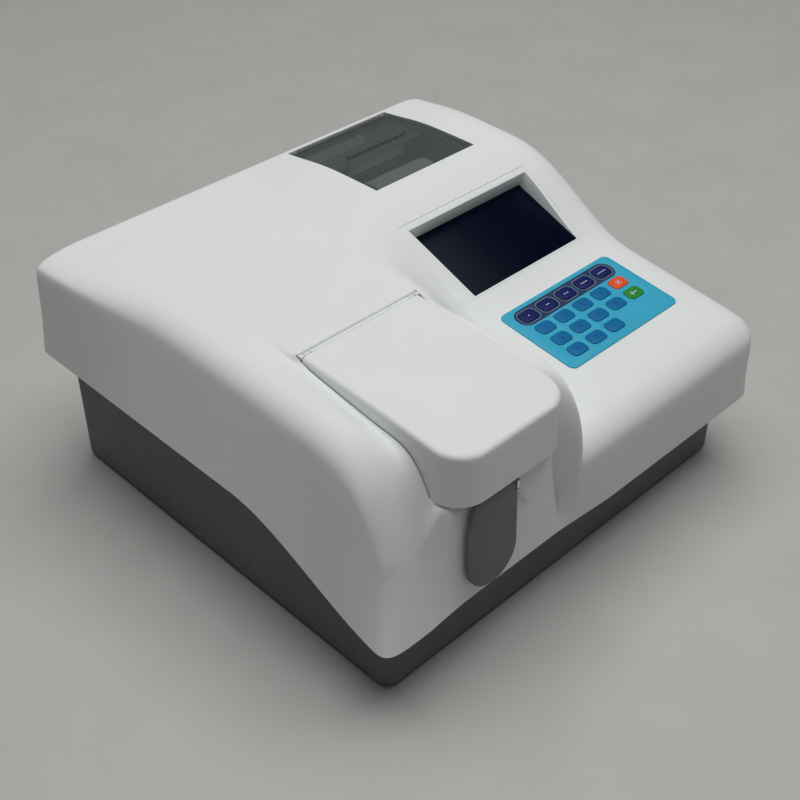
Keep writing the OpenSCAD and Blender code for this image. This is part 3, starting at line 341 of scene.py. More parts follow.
@dataclass(frozen=True)
class PrintedFilm(Finish):
    """The keypad's film, with a dark panel round the function keys and a light line round each.

    Attributes:
        panel_half: Half width and half depth of the dark panel.
        key_half: Half width and half depth of a key.
        key_r: Radius of a key's corners.
        panel_shade: Colour of the dark panel.
        line_shade: Colour of the light line.
    """

    panel_half: tuple[float, float] = (49.6 * MM, 8.2 * MM)
    key_half: tuple[float, float] = (7.3 * MM, 5.0 * MM)
    key_r: float = 3.4 * MM
    panel_shade: Shade = (40, 62, 92)
    line_shade: Shade = (118, 138, 160)

    def distance(
        self, wires: Wiring, at: object, half: tuple[float, float], r: float
    ) -> bpy.types.NodeSocket:
        """Places the shared panel group and returns its distance.

        Args:
            wires: The material's tree.
            at: The point, from the rectangle's middle.
            half: Half width and half depth.
            r: Radius of the corners.

        Returns:
            The distance outside the rounded rectangle.
        """
        group = wires.add("Group", node_tree=GROUPS[SharedGroup.PANEL])
        values = {"Vector": at, "Half": (half[0] - r, half[1] - r, 0.0), "Radius": r}
        for name, value in values.items():
            wires.feed(group.inputs[name], value)
        return group.outputs["Distance"]

    def band(self, wires: Wiring, distance: object, edge: float) -> bpy.types.NodeSocket:
        """Returns 1 where a distance is under an edge and 0 beyond it, with a soft step."""
        soft = 0.06 * MM
        ends = {"From Min": edge - soft, "From Max": edge + soft, "To Min": 1.0, "To Max": 0.0}
        return wires.add("MapRange", {"Value": distance, **ends}).outputs[0]

    def print_on(self, wires: Wiring) -> object:
        """Draws the dark panel and the lines round the function keys.

        Args:
            wires: The material's tree.

        Returns:
            The printed colour's socket.
        """
        where = wires.add("TexCoord").outputs["Object"]
        desk = wires.add("Mapping", {"Vector": where}, vector_type="TEXTURE")
        desk.inputs["Location"].default_value = FILM_MIDDLE
        desk.inputs["Rotation"].default_value = (DESK_TILT, 0.0, 0.0)
        local = wires.vector("SUBTRACT", desk.outputs[0], (0.0, KEY_ROWS[0], 0.0)).outputs[0]
        panel = self.distance(wires, local, self.panel_half, self.panel_half[1])
        parts = wires.add("SeparateXYZ", {0: local}).outputs
        wrapped = wires.add("Math", {0: parts[0], 1: KEY_PITCH / 2, 2: -KEY_PITCH / 2}, operation="WRAP")
        folded = wires.add("CombineXYZ", {0: wrapped.outputs[0], 1: parts[1], 2: 0.0}).outputs[0]
        key = self.distance(wires, folded, self.key_half, self.key_r)
        inside = self.band(wires, panel, 0.0)
        line = wires.math("SUBTRACT", self.band(wires, key, 1.3 * MM), self.band(wires, key, 0.8 * MM))
        colour = wires.blend(inside, linear(self.shade), linear(self.panel_shade))
        return wires.blend(wires.math("MULTIPLY", line, inside), colour, linear(self.line_shade))


@dataclass(frozen=True)
class WoundPaper(Finish):
    """Wound paper, with the edges of its turns showing as rings on its ends.

    Attributes:
        axis: A point on the roll's axis.
        turn: Thickness of a drawn turn.
        edge_shade: Colour of the gaps between turns.
    """

    axis: Point = (0.0, 0.0, 0.0)
    turn: float = 0.5 * MM
    edge_shade: Shade = (196, 196, 190)

    def print_on(self, wires: Wiring) -> object:
        """Draws the turns and returns the colour's socket."""
        where = wires.add("TexCoord").outputs["Object"]
        local = wires.vector("SUBTRACT", where, self.axis).outputs[0]
        rings = wires.add(
            "TexWave",
            {"Vector": local, "Scale": 0.5 / self.turn / math.pi, "Distortion": 0.4},
            wave_type="RINGS",
            rings_direction="X",
        )
        return wires.blend(rings.outputs[1], linear(self.edge_shade), linear(self.shade))


class Finishes:
    """The instrument's finishes."""

    CASING = Finish(
        "white_moulding", "white_casing", (233, 236, 234), 0.55, 0.04, 0.008, 0.9 * MM, 0.006 * MM,
        specular=0.25,
    )
    LID = Finish(
        "white_lid_moulding", "white_lid", (233, 236, 234), 0.52, 0.04, 0.008, 0.9 * MM, 0.005 * MM,
        specular=0.25,
    )
    LINER = Finish("white_liner_moulding", "white_liner", (214, 217, 214), 0.55, 0.05, 0.02)
    COATED = Finish("white_coated_pin", "steel", (226, 229, 227), 0.42, 0.05, 0.02, 0.5 * MM, 0.004 * MM)
    TRAY = Finish("grey_sparked_tray", "grey_tray", (98, 102, 103), 0.62, 0.05, 0.04, 1.0 * MM, 0.09 * MM)
    PADDLE = Finish(
        "dark_paddle_moulding", "dark_paddle", (98, 104, 103), 0.5, 0.05, 0.03, 0.9 * MM, 0.03 * MM
    )
    SMOKED = Finish(
        "smoked_clear_plastic", "smoked_cover", (98, 105, 104), 0.09, 0.04, 0.05, 2.5 * MM, 0.004 * MM,
        coat=0.2, clear=0.56,
    )
    GLASS = Finish(
        "dark_display_glass", "display_glass", (2, 7, 28), 0.3, 0.03, 0.1, 3 * MM, 0.001 * MM, specular=0.06
    )
    FILM = PrintedFilm(
        "printed_keypad_film", "keypad_film", (60, 172, 204), 0.5, 0.04, 0.02, 0.5 * MM, 0.008 * MM,
        specular=0.2,
    )
    NAVY = Finish("navy_key_moulding", "navy_keys", (10, 24, 92), 0.46, 0.05, 0.05, 0.6 * MM, specular=0.2)
    BLUE = Finish("blue_key_moulding", "blue_keys", (0, 108, 164), 0.46, 0.05, 0.05, 0.6 * MM, specular=0.2)
    ORANGE = Finish(
        "orange_key_moulding", "orange_key", (228, 88, 42), 0.46, 0.05, 0.05, 0.6 * MM, specular=0.2
    )
    GREEN = Finish("green_key_moulding", "green_key", (40, 138, 46), 0.46, 0.05, 0.05, 0.6 * MM, specular=0.2)
    PALE_INK = Finish("pale_legend_ink", "keypad_film", (196, 206, 230), 0.5, 0.05, 0.03)
    DEEP_INK = Finish("deep_legend_ink", "navy_keys", (10, 52, 112), 0.5, 0.05, 0.05)
    STEEL = Finish(
        "bright_steel", "steel", (212, 214, 215), 0.24, 0.08, 0.03, 0.5 * MM, 0.004 * MM, metal=True
    )
    RUBBER = Finish("black_rubber_feet", "black_rubber", (38, 38, 39), 0.8, 0.06, 0.08, 1.2 * MM, 0.05 * MM)
    BLACK = Finish("black_moulding", "black_plastic", (48, 49, 51), 0.5, 0.06, 0.05, 0.8 * MM, 0.03 * MM)
    FRAME = Finish(
        "grey_printer_moulding", "black_plastic", (112, 120, 119), 0.55, 0.06, 0.05, 0.8 * MM, 0.03 * MM
    )
    MECHANISM = Finish("pale_printer_moulding", "black_plastic", (158, 164, 163), 0.5, 0.06, 0.04)
    PANEL = Finish("coated_rear_panel", "panel_metal", (205, 207, 205), 0.5, 0.05, 0.03, 1.4 * MM, 0.04 * MM)
    ALLOY = Finish(
        "machined_alloy", "bare_alloy", (176, 178, 180), 0.34, 0.08, 0.04, 0.6 * MM, 0.006 * MM, metal=True
    )
    BOARD = Finish("green_circuit_board", "circuit_board", (30, 92, 56), 0.4, 0.08, 0.15, 2.0 * MM, 0.03 * MM)
    IVORY = Finish("ivory_moulding", "ivory_plastic", (226, 221, 203), 0.48, 0.05, 0.03)
    TIP = Finish(
        "soft_clear_tip", "ivory_plastic", (236, 240, 236), 0.25, 0.05, 0.03, 2 * MM, 0.002 * MM, clear=0.2
    )
    STRIP = Finish("printed_paper_strip", "paper", (238, 239, 234), 0.7, 0.05, 0.02, 0.4 * MM, 0.01 * MM)


def deselect() -> None:
    """Leaves nothing selected, in object mode."""
    if bpy.context.object is not None and bpy.context.object.mode != "OBJECT":
        bpy.ops.object.mode_set(mode="OBJECT")
    bpy.ops.object.select_all(action="DESELECT")


def activate(piece: bpy.types.Object) -> None:
    """Selects one object alone and makes it active."""
    deselect()
    piece.select_set(True)
    bpy.context.view_layer.objects.active = piece


def start_edit(action: str = "SELECT") -> None:
    """Opens the active piece for editing, with all of it selected or none."""
    bpy.ops.object.mode_set(mode="EDIT")
    bpy.ops.mesh.select_all(action=action)


def end_edit() -> None:
    """Closes the active piece after editing."""
    bpy.ops.object.mode_set(mode="OBJECT")


def new_piece(name: str, mesh: bpy.types.Mesh) -> bpy.types.Object:
    """Adds a piece to the scene and returns it."""
    piece = bpy.data.objects.new(name, mesh)
    bpy.context.scene.collection.objects.link(piece)
    return piece


def apply_modifier(piece: bpy.types.Object, kind: str, **settings: object) -> None:
    """Adds a modifier and applies it.

    Args:
        piece: The piece to change.
        kind: The modifier's type.
        settings: Its properties.
    """
    activate(piece)
    bpy.ops.object.modifier_add(type=kind)
    modifier = piece.modifiers[-1]
    for name, value in settings.items():
        setattr(modifier, name, value)
    bpy.ops.object.modifier_apply(modifier=modifier.name)


def bevel(piece: bpy.types.Object, width: float, segments: int = 2, degrees: float = 30.0) -> None:
    """Rounds the edges of a piece that are sharper than an angle.

    Args:
        piece: The piece to change.
        width: Width of the rounding.
        segments: Faces across the rounding.
        degrees: Edges sharper than this are rounded.
    """
    limit = math.radians(degrees)
    apply_modifier(piece, "BEVEL", width=width, segments=segments, limit_method="ANGLE", angle_limit=limit)


def smooth(piece: bpy.types.Object, degrees: float = 35.0) -> None:
    """Shades a piece smooth, apart from edges sharper than an angle."""
    activate(piece)
    bpy.ops.object.shade_smooth_by_angle(angle=math.radians(degrees))


def copy_of(node: str, name: str) -> bpy.types.Object:
    """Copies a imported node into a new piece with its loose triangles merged.

    Args:
        node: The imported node.
        name: The new piece's name.

    Returns:
        The new piece, active.
    """
    piece = new_piece(name, frame["nodes"][node].data.copy())
    activate(piece)
    start_edit()
    bpy.ops.mesh.remove_doubles(threshold=0.001 * MM)
    end_edit()
    return piece


def settle(piece: bpy.types.Object, finish: Finish, body: str, *nodes: str) -> bpy.types.Object:
    """Dresses a finished piece and lets it ride on its body.

    Args:
        piece: The piece.
        finish: Its finish.
        body: The body that carries it.
        nodes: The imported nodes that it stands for.

    Returns:
        The piece.
    """
    piece.data.materials.clear()
    piece.data.materials.append(finish.material())
    if nodes:
        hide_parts(*nodes)
    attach(piece, body)
    LOG.info("piece %s on %s, %d faces", piece.name, body, len(piece.data.polygons))
    return piece


def dress(node: str, finish: Finish) -> None:
    """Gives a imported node, left as it is, a better material."""
    piece = frame["nodes"][node]
    piece.data.materials.clear()
    piece.data.materials.append(finish.material())
    LOG.info("node %s dressed in %s", node, finish.name)


def rounded(
    node: str, finish: Finish, width: float, segments: int = 3, degrees: float = 32.0
) -> bpy.types.Object:
    """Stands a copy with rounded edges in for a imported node.

    Args:
        node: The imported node.
        finish: Its finish.
        width: Width of the rounding.
        segments: Faces across the rounding.
        degrees: Edges sharper than this are rounded.

    Returns:
        The new piece.
    """
    piece = copy_of(node, node + "_body")
    start_edit()
    bpy.ops.mesh.dissolve_limited(angle_limit=math.radians(0.5))
    end_edit()
    bevel(piece, width, segments, degrees)
    smooth(piece)
    return settle(piece, finish, BODY_OF[node], node)


def softened(node: str, finish: Finish, crease_degrees: float, levels: int) -> bpy.types.Object:
    """Stands a subdivided copy in for a moulded skin, with its sharp rims kept.

    Args:
        node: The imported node.
        finish: Its finish.
        crease_degrees: Edges sharper than this stay sharp.
        levels: Levels of subdivision.

    Returns:
        The new piece.
    """
    piece = copy_of(node, node + "_body")
    start_edit()
    bpy.ops.mesh.tris_convert_to_quads(face_threshold=math.radians(60), shape_threshold=math.radians(180))
    bpy.ops.mesh.select_all(action="DESELECT")
    bpy.ops.mesh.select_mode(type="EDGE")
    bpy.ops.mesh.edges_select_sharp(sharpness=math.radians(crease_degrees))
    bpy.ops.transform.edge_crease(value=1.0)
    bpy.ops.mesh.select_mode(type="VERT")
    end_edit()
    apply_modifier(piece, "SUBSURF", levels=levels, render_levels=levels)
    smooth(piece, 40.0)
    return settle(piece, finish, BODY_OF[node], node)


def box_piece(name: str, low: Point, high: Point) -> bpy.types.Object:
    """Makes a box between two corners, to be shaped further.

    Args:
        name: The piece's name.
        low: Its lower corner.
        high: Its upper corner.

    Returns:
        The box, active.
    """
    deselect()
    bpy.ops.mesh.primitive_cube_add(size=1.0)
    piece = bpy.context.object
    piece.name = name
    first, last = Vector(low), Vector(high)
    piece.data.transform(Matrix.Translation((first + last) / 2) @ Matrix.Diagonal((*(last - first), 1.0)))
    return piece


def cut(piece: bpy.types.Object, tool: bpy.types.Object) -> None:
    """Cuts a tool's shape out of a piece and removes the tool."""
    apply_modifier(piece, "BOOLEAN", operation="DIFFERENCE", object=tool, solver="EXACT")
    bpy.data.objects.remove(tool)


def join(pieces: list[bpy.types.Object]) -> bpy.types.Object:
    """Joins pieces into the first one and returns it."""
    deselect()
    for piece in pieces:
        piece.select_set(True)
    bpy.context.view_layer.objects.active = pieces[0]
    if len(pieces) > 1:
        bpy.ops.object.join()
    return bpy.context.object


def between(first: float, last: float, share: float) -> float:
    """Returns the value at a share of the way from one value to another."""
    return first + (last - first) * share


def ease(share: float) -> float:
    """Returns a share from 0 to 1 with a soft start and end."""
    held = min(max(share, 0.0), 1.0)
    return held * held * (3 - 2 * held)


@dataclass
class Casing:
    """The moulded upper casing and the sample lid, with the lid's hinge.

    Attributes:
        levels: Levels of subdivision of the moulded skins.
        crease: Angle from which a rim stays sharp, in degrees.
        knuckle_round: Rounding of the hinge's knuckles.
        flank_x: The shoulder's left face, next to the lid, and its crest at the rear and at the front.
        flank_y: Where the shoulder and its rounding start, and its front at the lid and at the crest.
        flank_z: Height where the rounding starts, where it turns into the wall, and of the wall's foot.
        flank_fall: Width of the slope behind the crest, at the rear and at the front.
        flank_split: Shares across the shoulder where its left face ends and where its crest is.
        flank_turn: Shares along the shoulder where its rounding starts and ends.
        flank_slope: Fall of the shoulder's top for each metre towards the front.
        crest_y: Where the crest starts to move towards the console, and over which length.
        corner: Width over which the shoulder's front turns towards the console's front.
        tuck: How far the wall's foot and the slope's front sink into the casing.
        desk_at: Depth and height of a point just under the console's desk.
        desk_slope: Fall of the desk for each metre towards the front.
        desk_edge: Where the desk turns down at its front, over which length, and how far.
        fullness: How full the shoulder's rounding is, 2 for an ellipse.
        seam_lap: How far the lid's rear edge closes up to the knuckles.
    """

    levels: int = 2
    crease: float = 50.0
    knuckle_round: float = 0.2 * MM
    flank_x: tuple[float, float, float] = (-27.9 * MM, -27.0 * MM, -18.0 * MM)
    flank_y: tuple[float, float, float, float] = (-45.0 * MM, -118.0 * MM, -157.0 * MM, -172.5 * MM)
    flank_z: tuple[float, float, float] = (164.7 * MM, 92.0 * MM, 66.0 * MM)
    flank_fall: tuple[float, float] = (36.0 * MM, 9.0 * MM)
    flank_split: tuple[float, float] = (0.05, 0.4)
    flank_turn: tuple[float, float] = (0.3, 0.9)
    flank_slope: float = 0.047
    crest_y: tuple[float, float] = (-50.0 * MM, 70.0 * MM)
    corner: float = 11.0 * MM
    tuck: tuple[float, float] = (4.0 * MM, 6.0 * MM)
    desk_at: tuple[float, float] = (-90.0 * MM, 123.0 * MM)
    desk_slope: float = 0.123
    desk_edge: tuple[float, float, float] = (-150.0 * MM, 10.0 * MM, 2.0 * MM)
    fullness: float = 2.9
    seam_lap: float = 0.12 * MM

    def desk(self, y: float) -> float:
        """Returns a height just under the console's desk."""
        front, run, drop = self.desk_edge
        past = max((front - y) / run, 0.0)
        return self.desk_at[1] + self.desk_slope * (y - self.desk_at[0]) - drop * past * past

    def flank_point(self, across: float, along: float) -> Point:
        """Places a point of the shoulder beside the lid.

        Args:
            across: Share of the way from the lid to the console.
            along: Share of the way from the rear, over the top, down to the wall's foot.

        Returns:
            The point.
        """
        rear, start, near, far = self.flank_y
        top, wall, foot = self.flank_z
        face, ridge = self.flank_split
        begin, end = self.flank_turn
        upright = max(1 - across / face, 0.0)
        across = max((across - face) / (1 - face), 0.0)
        y = between(rear, start, min(along / begin, 1.0))
        crest = between(*self.flank_x[1:], ease((self.crest_y[0] - y) / self.crest_y[1]))
        fall = between(*self.flank_fall, ease((rear - y) / (rear - start)))
        side = max((across - ridge) / (1 - ridge), 0.0)
        x = crest + fall * side if side else between(self.flank_x[0], crest, across / ridge)
        front = between(near, far, ease((min(x, crest) - self.flank_x[0] + MM) / self.corner))
        z = top + self.flank_slope * (y - start)
        if along > begin:
            turn = math.pi / 2 * min((along - begin) / (end - begin), 1.0)
            y = between(start, front, math.sin(turn) ** (2 / self.fullness))
            z = between(wall, top, max(math.cos(turn), 0.0) ** (2 / self.fullness))
        below = max((along - end) / (1 - end), 0.0)
        z += (foot - wall) * below
        y += self.tuck[0] * below
        sink = ease(side)
        z -= max(z - self.desk(y), 0.0) * sink + max(z - wall, 0.0) * upright
        return x, y + self.tuck[1] * sink * ease((along - 0.5) / begin), z

    def shoulder(self) -> None:
        """Makes the rounded shoulder that fills the hollow between the lid and the console."""
        deselect()
        bpy.ops.mesh.primitive_grid_add(x_subdivisions=40, y_subdivisions=110, size=1.0)
        piece = bpy.context.object
        piece.name = "lid_shoulder"
        for vertex in piece.data.vertices:
            vertex.co = self.flank_point(vertex.co.x + 0.5, 0.5 - vertex.co.y)
        apply_modifier(piece, "SOLIDIFY", thickness=1.6 * MM, offset=-1.0)
        smooth(piece, 50.0)
        settle(piece, Finishes.CASING, "chassis")

    def seam_lip(self) -> None:
        """Makes the narrow lip that closes the seam behind the lid's knuckles."""
        low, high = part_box("lid_hinge_tube")
        near, far = high.y + 0.12 * MM, high.y + 0.7 * MM
        lip = box_piece("seam_lip", (low.x, near, high.z - 2.4 * MM), (high.x, far, high.z - 0.3 * MM))
        bevel(lip, 0.12 * MM)
        settle(lip, Finishes.CASING, "chassis")

    def build(self) -> None:
        """Makes the casing's pieces."""
        softened("upper_casing", Finishes.CASING, self.crease, self.levels)
        self.shoulder()
        lid = softened("sample_lid", Finishes.LID, self.crease, self.levels)
        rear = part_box("sample_lid")[1].y
        for vertex in lid.data.vertices:
            if vertex.co.y > rear - 0.05 * MM:
                vertex.co.y += self.seam_lap
        rounded("lid_hinge_tube", Finishes.LID, self.knuckle_round)
        dress("lid_hinge_pin", Finishes.COATED)
        self.seam_lip()


@dataclass
class Base:
    """The base tray on its rubber feet.

    Attributes:
        tray_round: Rounding of the tray's edges.
        foot_round: Rounding of the feet's edges.
    """

    tray_round: float = 0.6 * MM
    foot_round: float = 0.8 * MM

    def build(self) -> None:
        """Makes the base's pieces."""
        rounded("base_tray", Finishes.TRAY, self.tray_round)
        rounded("rubber_feet", Finishes.RUBBER, self.foot_round)


@dataclass
class RearPanel:
    """The rear panel with its inlet, switch, serial port, fan and waste outlet.

    Attributes:
        edge: Rounding of the small mouldings.
        head_r: Radius of a screw's head.
        head_h: Height of a screw's head.
        slot_w: Width of the cross in a screw's head.
        pin_r: Radius of a contact of the serial port.
        pin_pitch: Spacing of the contacts.
        pin_step: Distance of each row of contacts from the port's middle.
        pin_l: Length of a contact.
        port_floor: Depth of the port's floor.
        insert_half: Half width and half height of the port's dark insert.
        bar_at: Depth and height of the bar on the rocker, and the slope of its face.
        ring_at: The same for the ring.
    """

    edge: float = 0.4 * MM
    head_r: float = 2.8 * MM
    head_h: float = 1.8 * MM
    slot_w: float = 0.8 * MM
    pin_r: float = 0.5 * MM
    pin_pitch: float = 2.77 * MM
    pin_step: float = 1.42 * MM
    pin_l: float = 4.5 * MM
    port_floor: float = 162.0 * MM
    insert_half: tuple[float, float] = (8.6 * MM, 4.1 * MM)
    bar_at: tuple[float, float, float] = (165.12 * MM, 54.1 * MM, 0.8 / 6.3)
    ring_at: tuple[float, float, float] = (166.4 * MM, 47.9 * MM, 1.8 / 6.3)

    def screw_heads(self) -> None:
        """Makes one screw head with a cross in it, and copies it to every screw."""
        low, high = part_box("panel_screws")
        face = high.y - self.head_h
        places = [
            Vector((x, face, z))
            for x in (low.x + self.head_r, 0.0, high.x - self.head_r)
            for z in (low.z + self.head_r, high.z - self.head_r)
        ]
        deselect()
        bpy.ops.mesh.primitive_cylinder_add(vertices=40, radius=self.head_r, depth=self.head_h)
        head = bpy.context.object
        start_edit("DESELECT")
        end_edit()
        for face_of in head.data.polygons:
            face_of.select = face_of.normal.z > 0.9
        bpy.ops.object.mode_set(mode="EDIT")
        bpy.ops.mesh.bevel(offset=0.8 * MM, segments=4, affect="EDGES")
        end_edit()
        for turn in (0.0, math.pi / 2):
            deselect()
            bpy.ops.mesh.primitive_cube_add(size=1.0)
            bar = bpy.context.object
            bar.data.transform(
                Matrix.Translation((0, 0, self.head_h / 2))
                @ Matrix.Rotation(turn, 4, "Z")
                @ Matrix.Diagonal((1.2 * self.head_r, self.slot_w, 0.9 * self.head_h, 1.0))
            )
            cut(head, bar)
        smooth(head)
        turn_out = Matrix.Rotation(-math.pi / 2, 4, "X")
        for number, place in enumerate(places, 1):
            piece = new_piece(f"panel_screw_{number}", head.data.copy())
            middle = place + Vector((0.0, self.head_h / 2, 0.0))
            piece.data.transform(Matrix.Translation(middle) @ turn_out)
            settle(piece, Finishes.STEEL, "chassis", "panel_screws")
        bpy.data.objects.remove(head)

    def contacts(self) -> None:
        """Makes one contact of the serial port, and copies it into two rows on a dark insert."""
        low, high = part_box("serial_port")
        middle = (low + high) / 2
        floor, reach, step = self.port_floor, self.pin_l, self.pin_step
        deselect()
        bpy.ops.mesh.primitive_cylinder_add(vertices=20, radius=self.pin_r, depth=reach)
        pin = bpy.context.object
        pin.data.transform(Matrix.Rotation(math.pi / 2, 4, "X"))
        bevel(pin, 0.3 * self.pin_r, 3)
        smooth(pin)
        number = 0
        for count, rise in ((5, step), (4, -step)):
            for k in range(count):
                number += 1
                piece = new_piece(f"serial_contact_{number}", pin.data.copy())
                x = middle.x + (k - (count - 1) / 2) * self.pin_pitch
                piece.data.transform(Matrix.Translation((x, floor + reach / 2 + 0.3 * MM, middle.z + rise)))
                settle(piece, Finishes.STEEL, "chassis")
        bpy.data.objects.remove(pin)
        half = Vector((self.insert_half[0], 0.0, self.insert_half[1]))
        insert = box_piece("serial_insert", middle - half, middle + half)
        for vertex in insert.data.vertices:
            vertex.co.y = floor + (0.8 * MM if vertex.co.y > middle.y else 0.05 * MM)
        bevel(insert, 0.3 * MM)
        settle(insert, Finishes.BLACK, "chassis")

    def rocker_marks(self) -> None:
        """Makes the bar and the ring on the rocker's two faces."""
        x = sum(corner.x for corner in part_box("power_rocker")) / 2
        for name, (y, z, slope) in (("rocker_bar", self.bar_at), ("rocker_ring", self.ring_at)):
            deselect()
            if name == "rocker_bar":
                bpy.ops.mesh.primitive_cube_add(size=1.0)
                bpy.context.object.data.transform(Matrix.Diagonal((0.6 * MM, 3.4 * MM, 0.12 * MM, 1.0)))
            else:
                bpy.ops.mesh.primitive_torus_add(
                    major_segments=40, minor_segments=10, major_radius=1.5 * MM, minor_radius=0.3 * MM
                )
                bpy.context.object.data.transform(Matrix.Diagonal((1.0, 1.0, 0.25, 1.0)))
            mark = bpy.context.object
            mark.name = name
            lean = Matrix.Rotation(-math.pi / 2 + math.atan(slope), 4, "X")
            mark.data.transform(Matrix.Translation((x, y, z)) @ lean)
            smooth(mark)
            settle(mark, Finishes.PALE_INK, "power_rocker")

    def build(self) -> None:
        """Makes the rear panel's pieces."""
        self.contacts()
        self.rocker_marks()
        rounded("rear_panel", Finishes.PANEL, 0.25 * MM)
        self.screw_heads()
        rounded("waste_nipple", Finishes.IVORY, self.edge)
        for node in ("inlet_socket", "switch_housing", "power_rocker"):
            rounded(node, Finishes.BLACK, self.edge)
        rounded("serial_port", Finishes.STEEL, 0.2 * MM)
        rounded("cooling_fan", Finishes.BLACK, self.edge)
        rounded("fan_rotor", Finishes.BLACK, 0.3 * MM)


@dataclass
class SampleBay:
    """The well under the lid, the sipper and the aspirating paddle.

    Attributes:
        edge: Rounding of the mouldings.
        paddle_round: Rounding of the paddle's edges.
        shoulders: Depth of the paddle's shoulders below its top, left and right.
        taper: How far the paddle's top is set in, left and right.
        ferrule_at: Middle of the sipper's ferrule.
        ferrule_r: Radius of the ferrule.
        ferrule_l: Length of the ferrule.
    """

    edge: float = 0.5 * MM
    paddle_round: float = 0.7 * MM
    shoulders: tuple[float, float] = (22.0 * MM, 12.0 * MM)
    taper: tuple[float, float] = (6.0 * MM, 4.0 * MM)
    ferrule_at: Point = (-0.0715, -0.1673, 0.1185)
    ferrule_r: float = 1.7 * MM
    ferrule_l: float = 6.0 * MM

    def sipper(self) -> None:
        """Splits the sipper into its steel tube and its soft tip."""
        copy_of("sipper_tube", "sipper_steel")
        start_edit()
        bpy.ops.mesh.separate(type="LOOSE")
        end_edit()
        pieces = sorted(bpy.context.selected_objects, key=lambda o: min(v.co.z for v in o.data.vertices))
        finishes = {"sipper_tip": Finishes.TIP, "sipper_steel": Finishes.STEEL}
        for piece, (name, finish) in zip(pieces, finishes.items()):
            piece.name = name
            smooth(piece)
            settle(piece, finish, "chassis", "sipper_tube")

    def ferrule(self) -> None:
        """Makes the bright ferrule at the lower end of the sipper's steel."""
        deselect()
        bpy.ops.mesh.primitive_cylinder_add(vertices=40, radius=self.ferrule_r, depth=self.ferrule_l)
        piece = bpy.context.object
        piece.name = "sipper_ferrule"
        bevel(piece, 0.5 * MM, 4)
        piece.data.transform(Matrix.Translation(self.ferrule_at))
        smooth(piece)
        settle(piece, Finishes.STEEL, "chassis")

    def paddle(self) -> None:
        """Makes the paddle, narrower at its top and with a cut corner beside the sipper."""
        piece = copy_of("aspirate_paddle", "aspirate_paddle_body")
        low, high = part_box("aspirate_paddle")
        middle = (low.x + high.x) / 2
        half = (high.x - low.x) / 2
        start_edit()
        bpy.ops.mesh.dissolve_limited(angle_limit=math.radians(0.5))
        for drop in self.shoulders:
            bpy.ops.mesh.select_all(action="SELECT")
            bpy.ops.mesh.bisect(plane_co=(0.0, 0.0, high.z - drop), plane_no=(0.0, 0.0, 1.0))
        end_edit()
        for vertex in piece.data.vertices:
            side = (vertex.co.x - middle) / half
            if abs(side) < 0.9:
                continue
            start = self.shoulders[0] if side < 0 else self.shoulders[1]
            shift = self.taper[0] if side < 0 else -self.taper[1]
            rise = (vertex.co.z - (high.z - start)) / start
            vertex.co.x += shift * min(max(rise, 0.0), 1.0)
        bevel(piece, self.paddle_round, 3, 32.0)
        smooth(piece)
        settle(piece, Finishes.PADDLE, BODY_OF["aspirate_paddle"], "aspirate_paddle")

    def build(self) -> None:
        """Makes the sample bay's pieces."""
        rounded("sample_well", Finishes.LINER, self.edge)
        rounded("flow_cell", Finishes.ALLOY, self.edge)
        self.sipper()
        self.ferrule()
        self.paddle()
        dress("paddle_bracket", Finishes.STEEL)
        dress("paddle_switch", Finishes.BLACK)


@dataclass
class Display:
    """The display's bezel, glass and module.

    Attributes:
        edge: Rounding of the bezel's edges.
        lap: How far the bezel closes up to the casing.
    """

    edge: float = 0.12 * MM
    lap: float = 0.28 * MM

    def build(self) -> None:
        """Makes the display's pieces."""
        bezel = rounded("display_bezel", Finishes.CASING, self.edge, degrees=20.0)
        low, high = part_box("display_bezel")
        middle = (low + high) / 2
        grow = [1 + 2 * self.lap / side for side in (high - low)[:2]]
        out = Matrix.Translation(middle) @ Matrix.Diagonal((*grow, 1.0, 1.0)) @ Matrix.Translation(-middle)
        bezel.data.transform(out)
        rounded("display_glass", Finishes.GLASS, 0.3 * MM)
        dress("display_module", Finishes.BOARD)


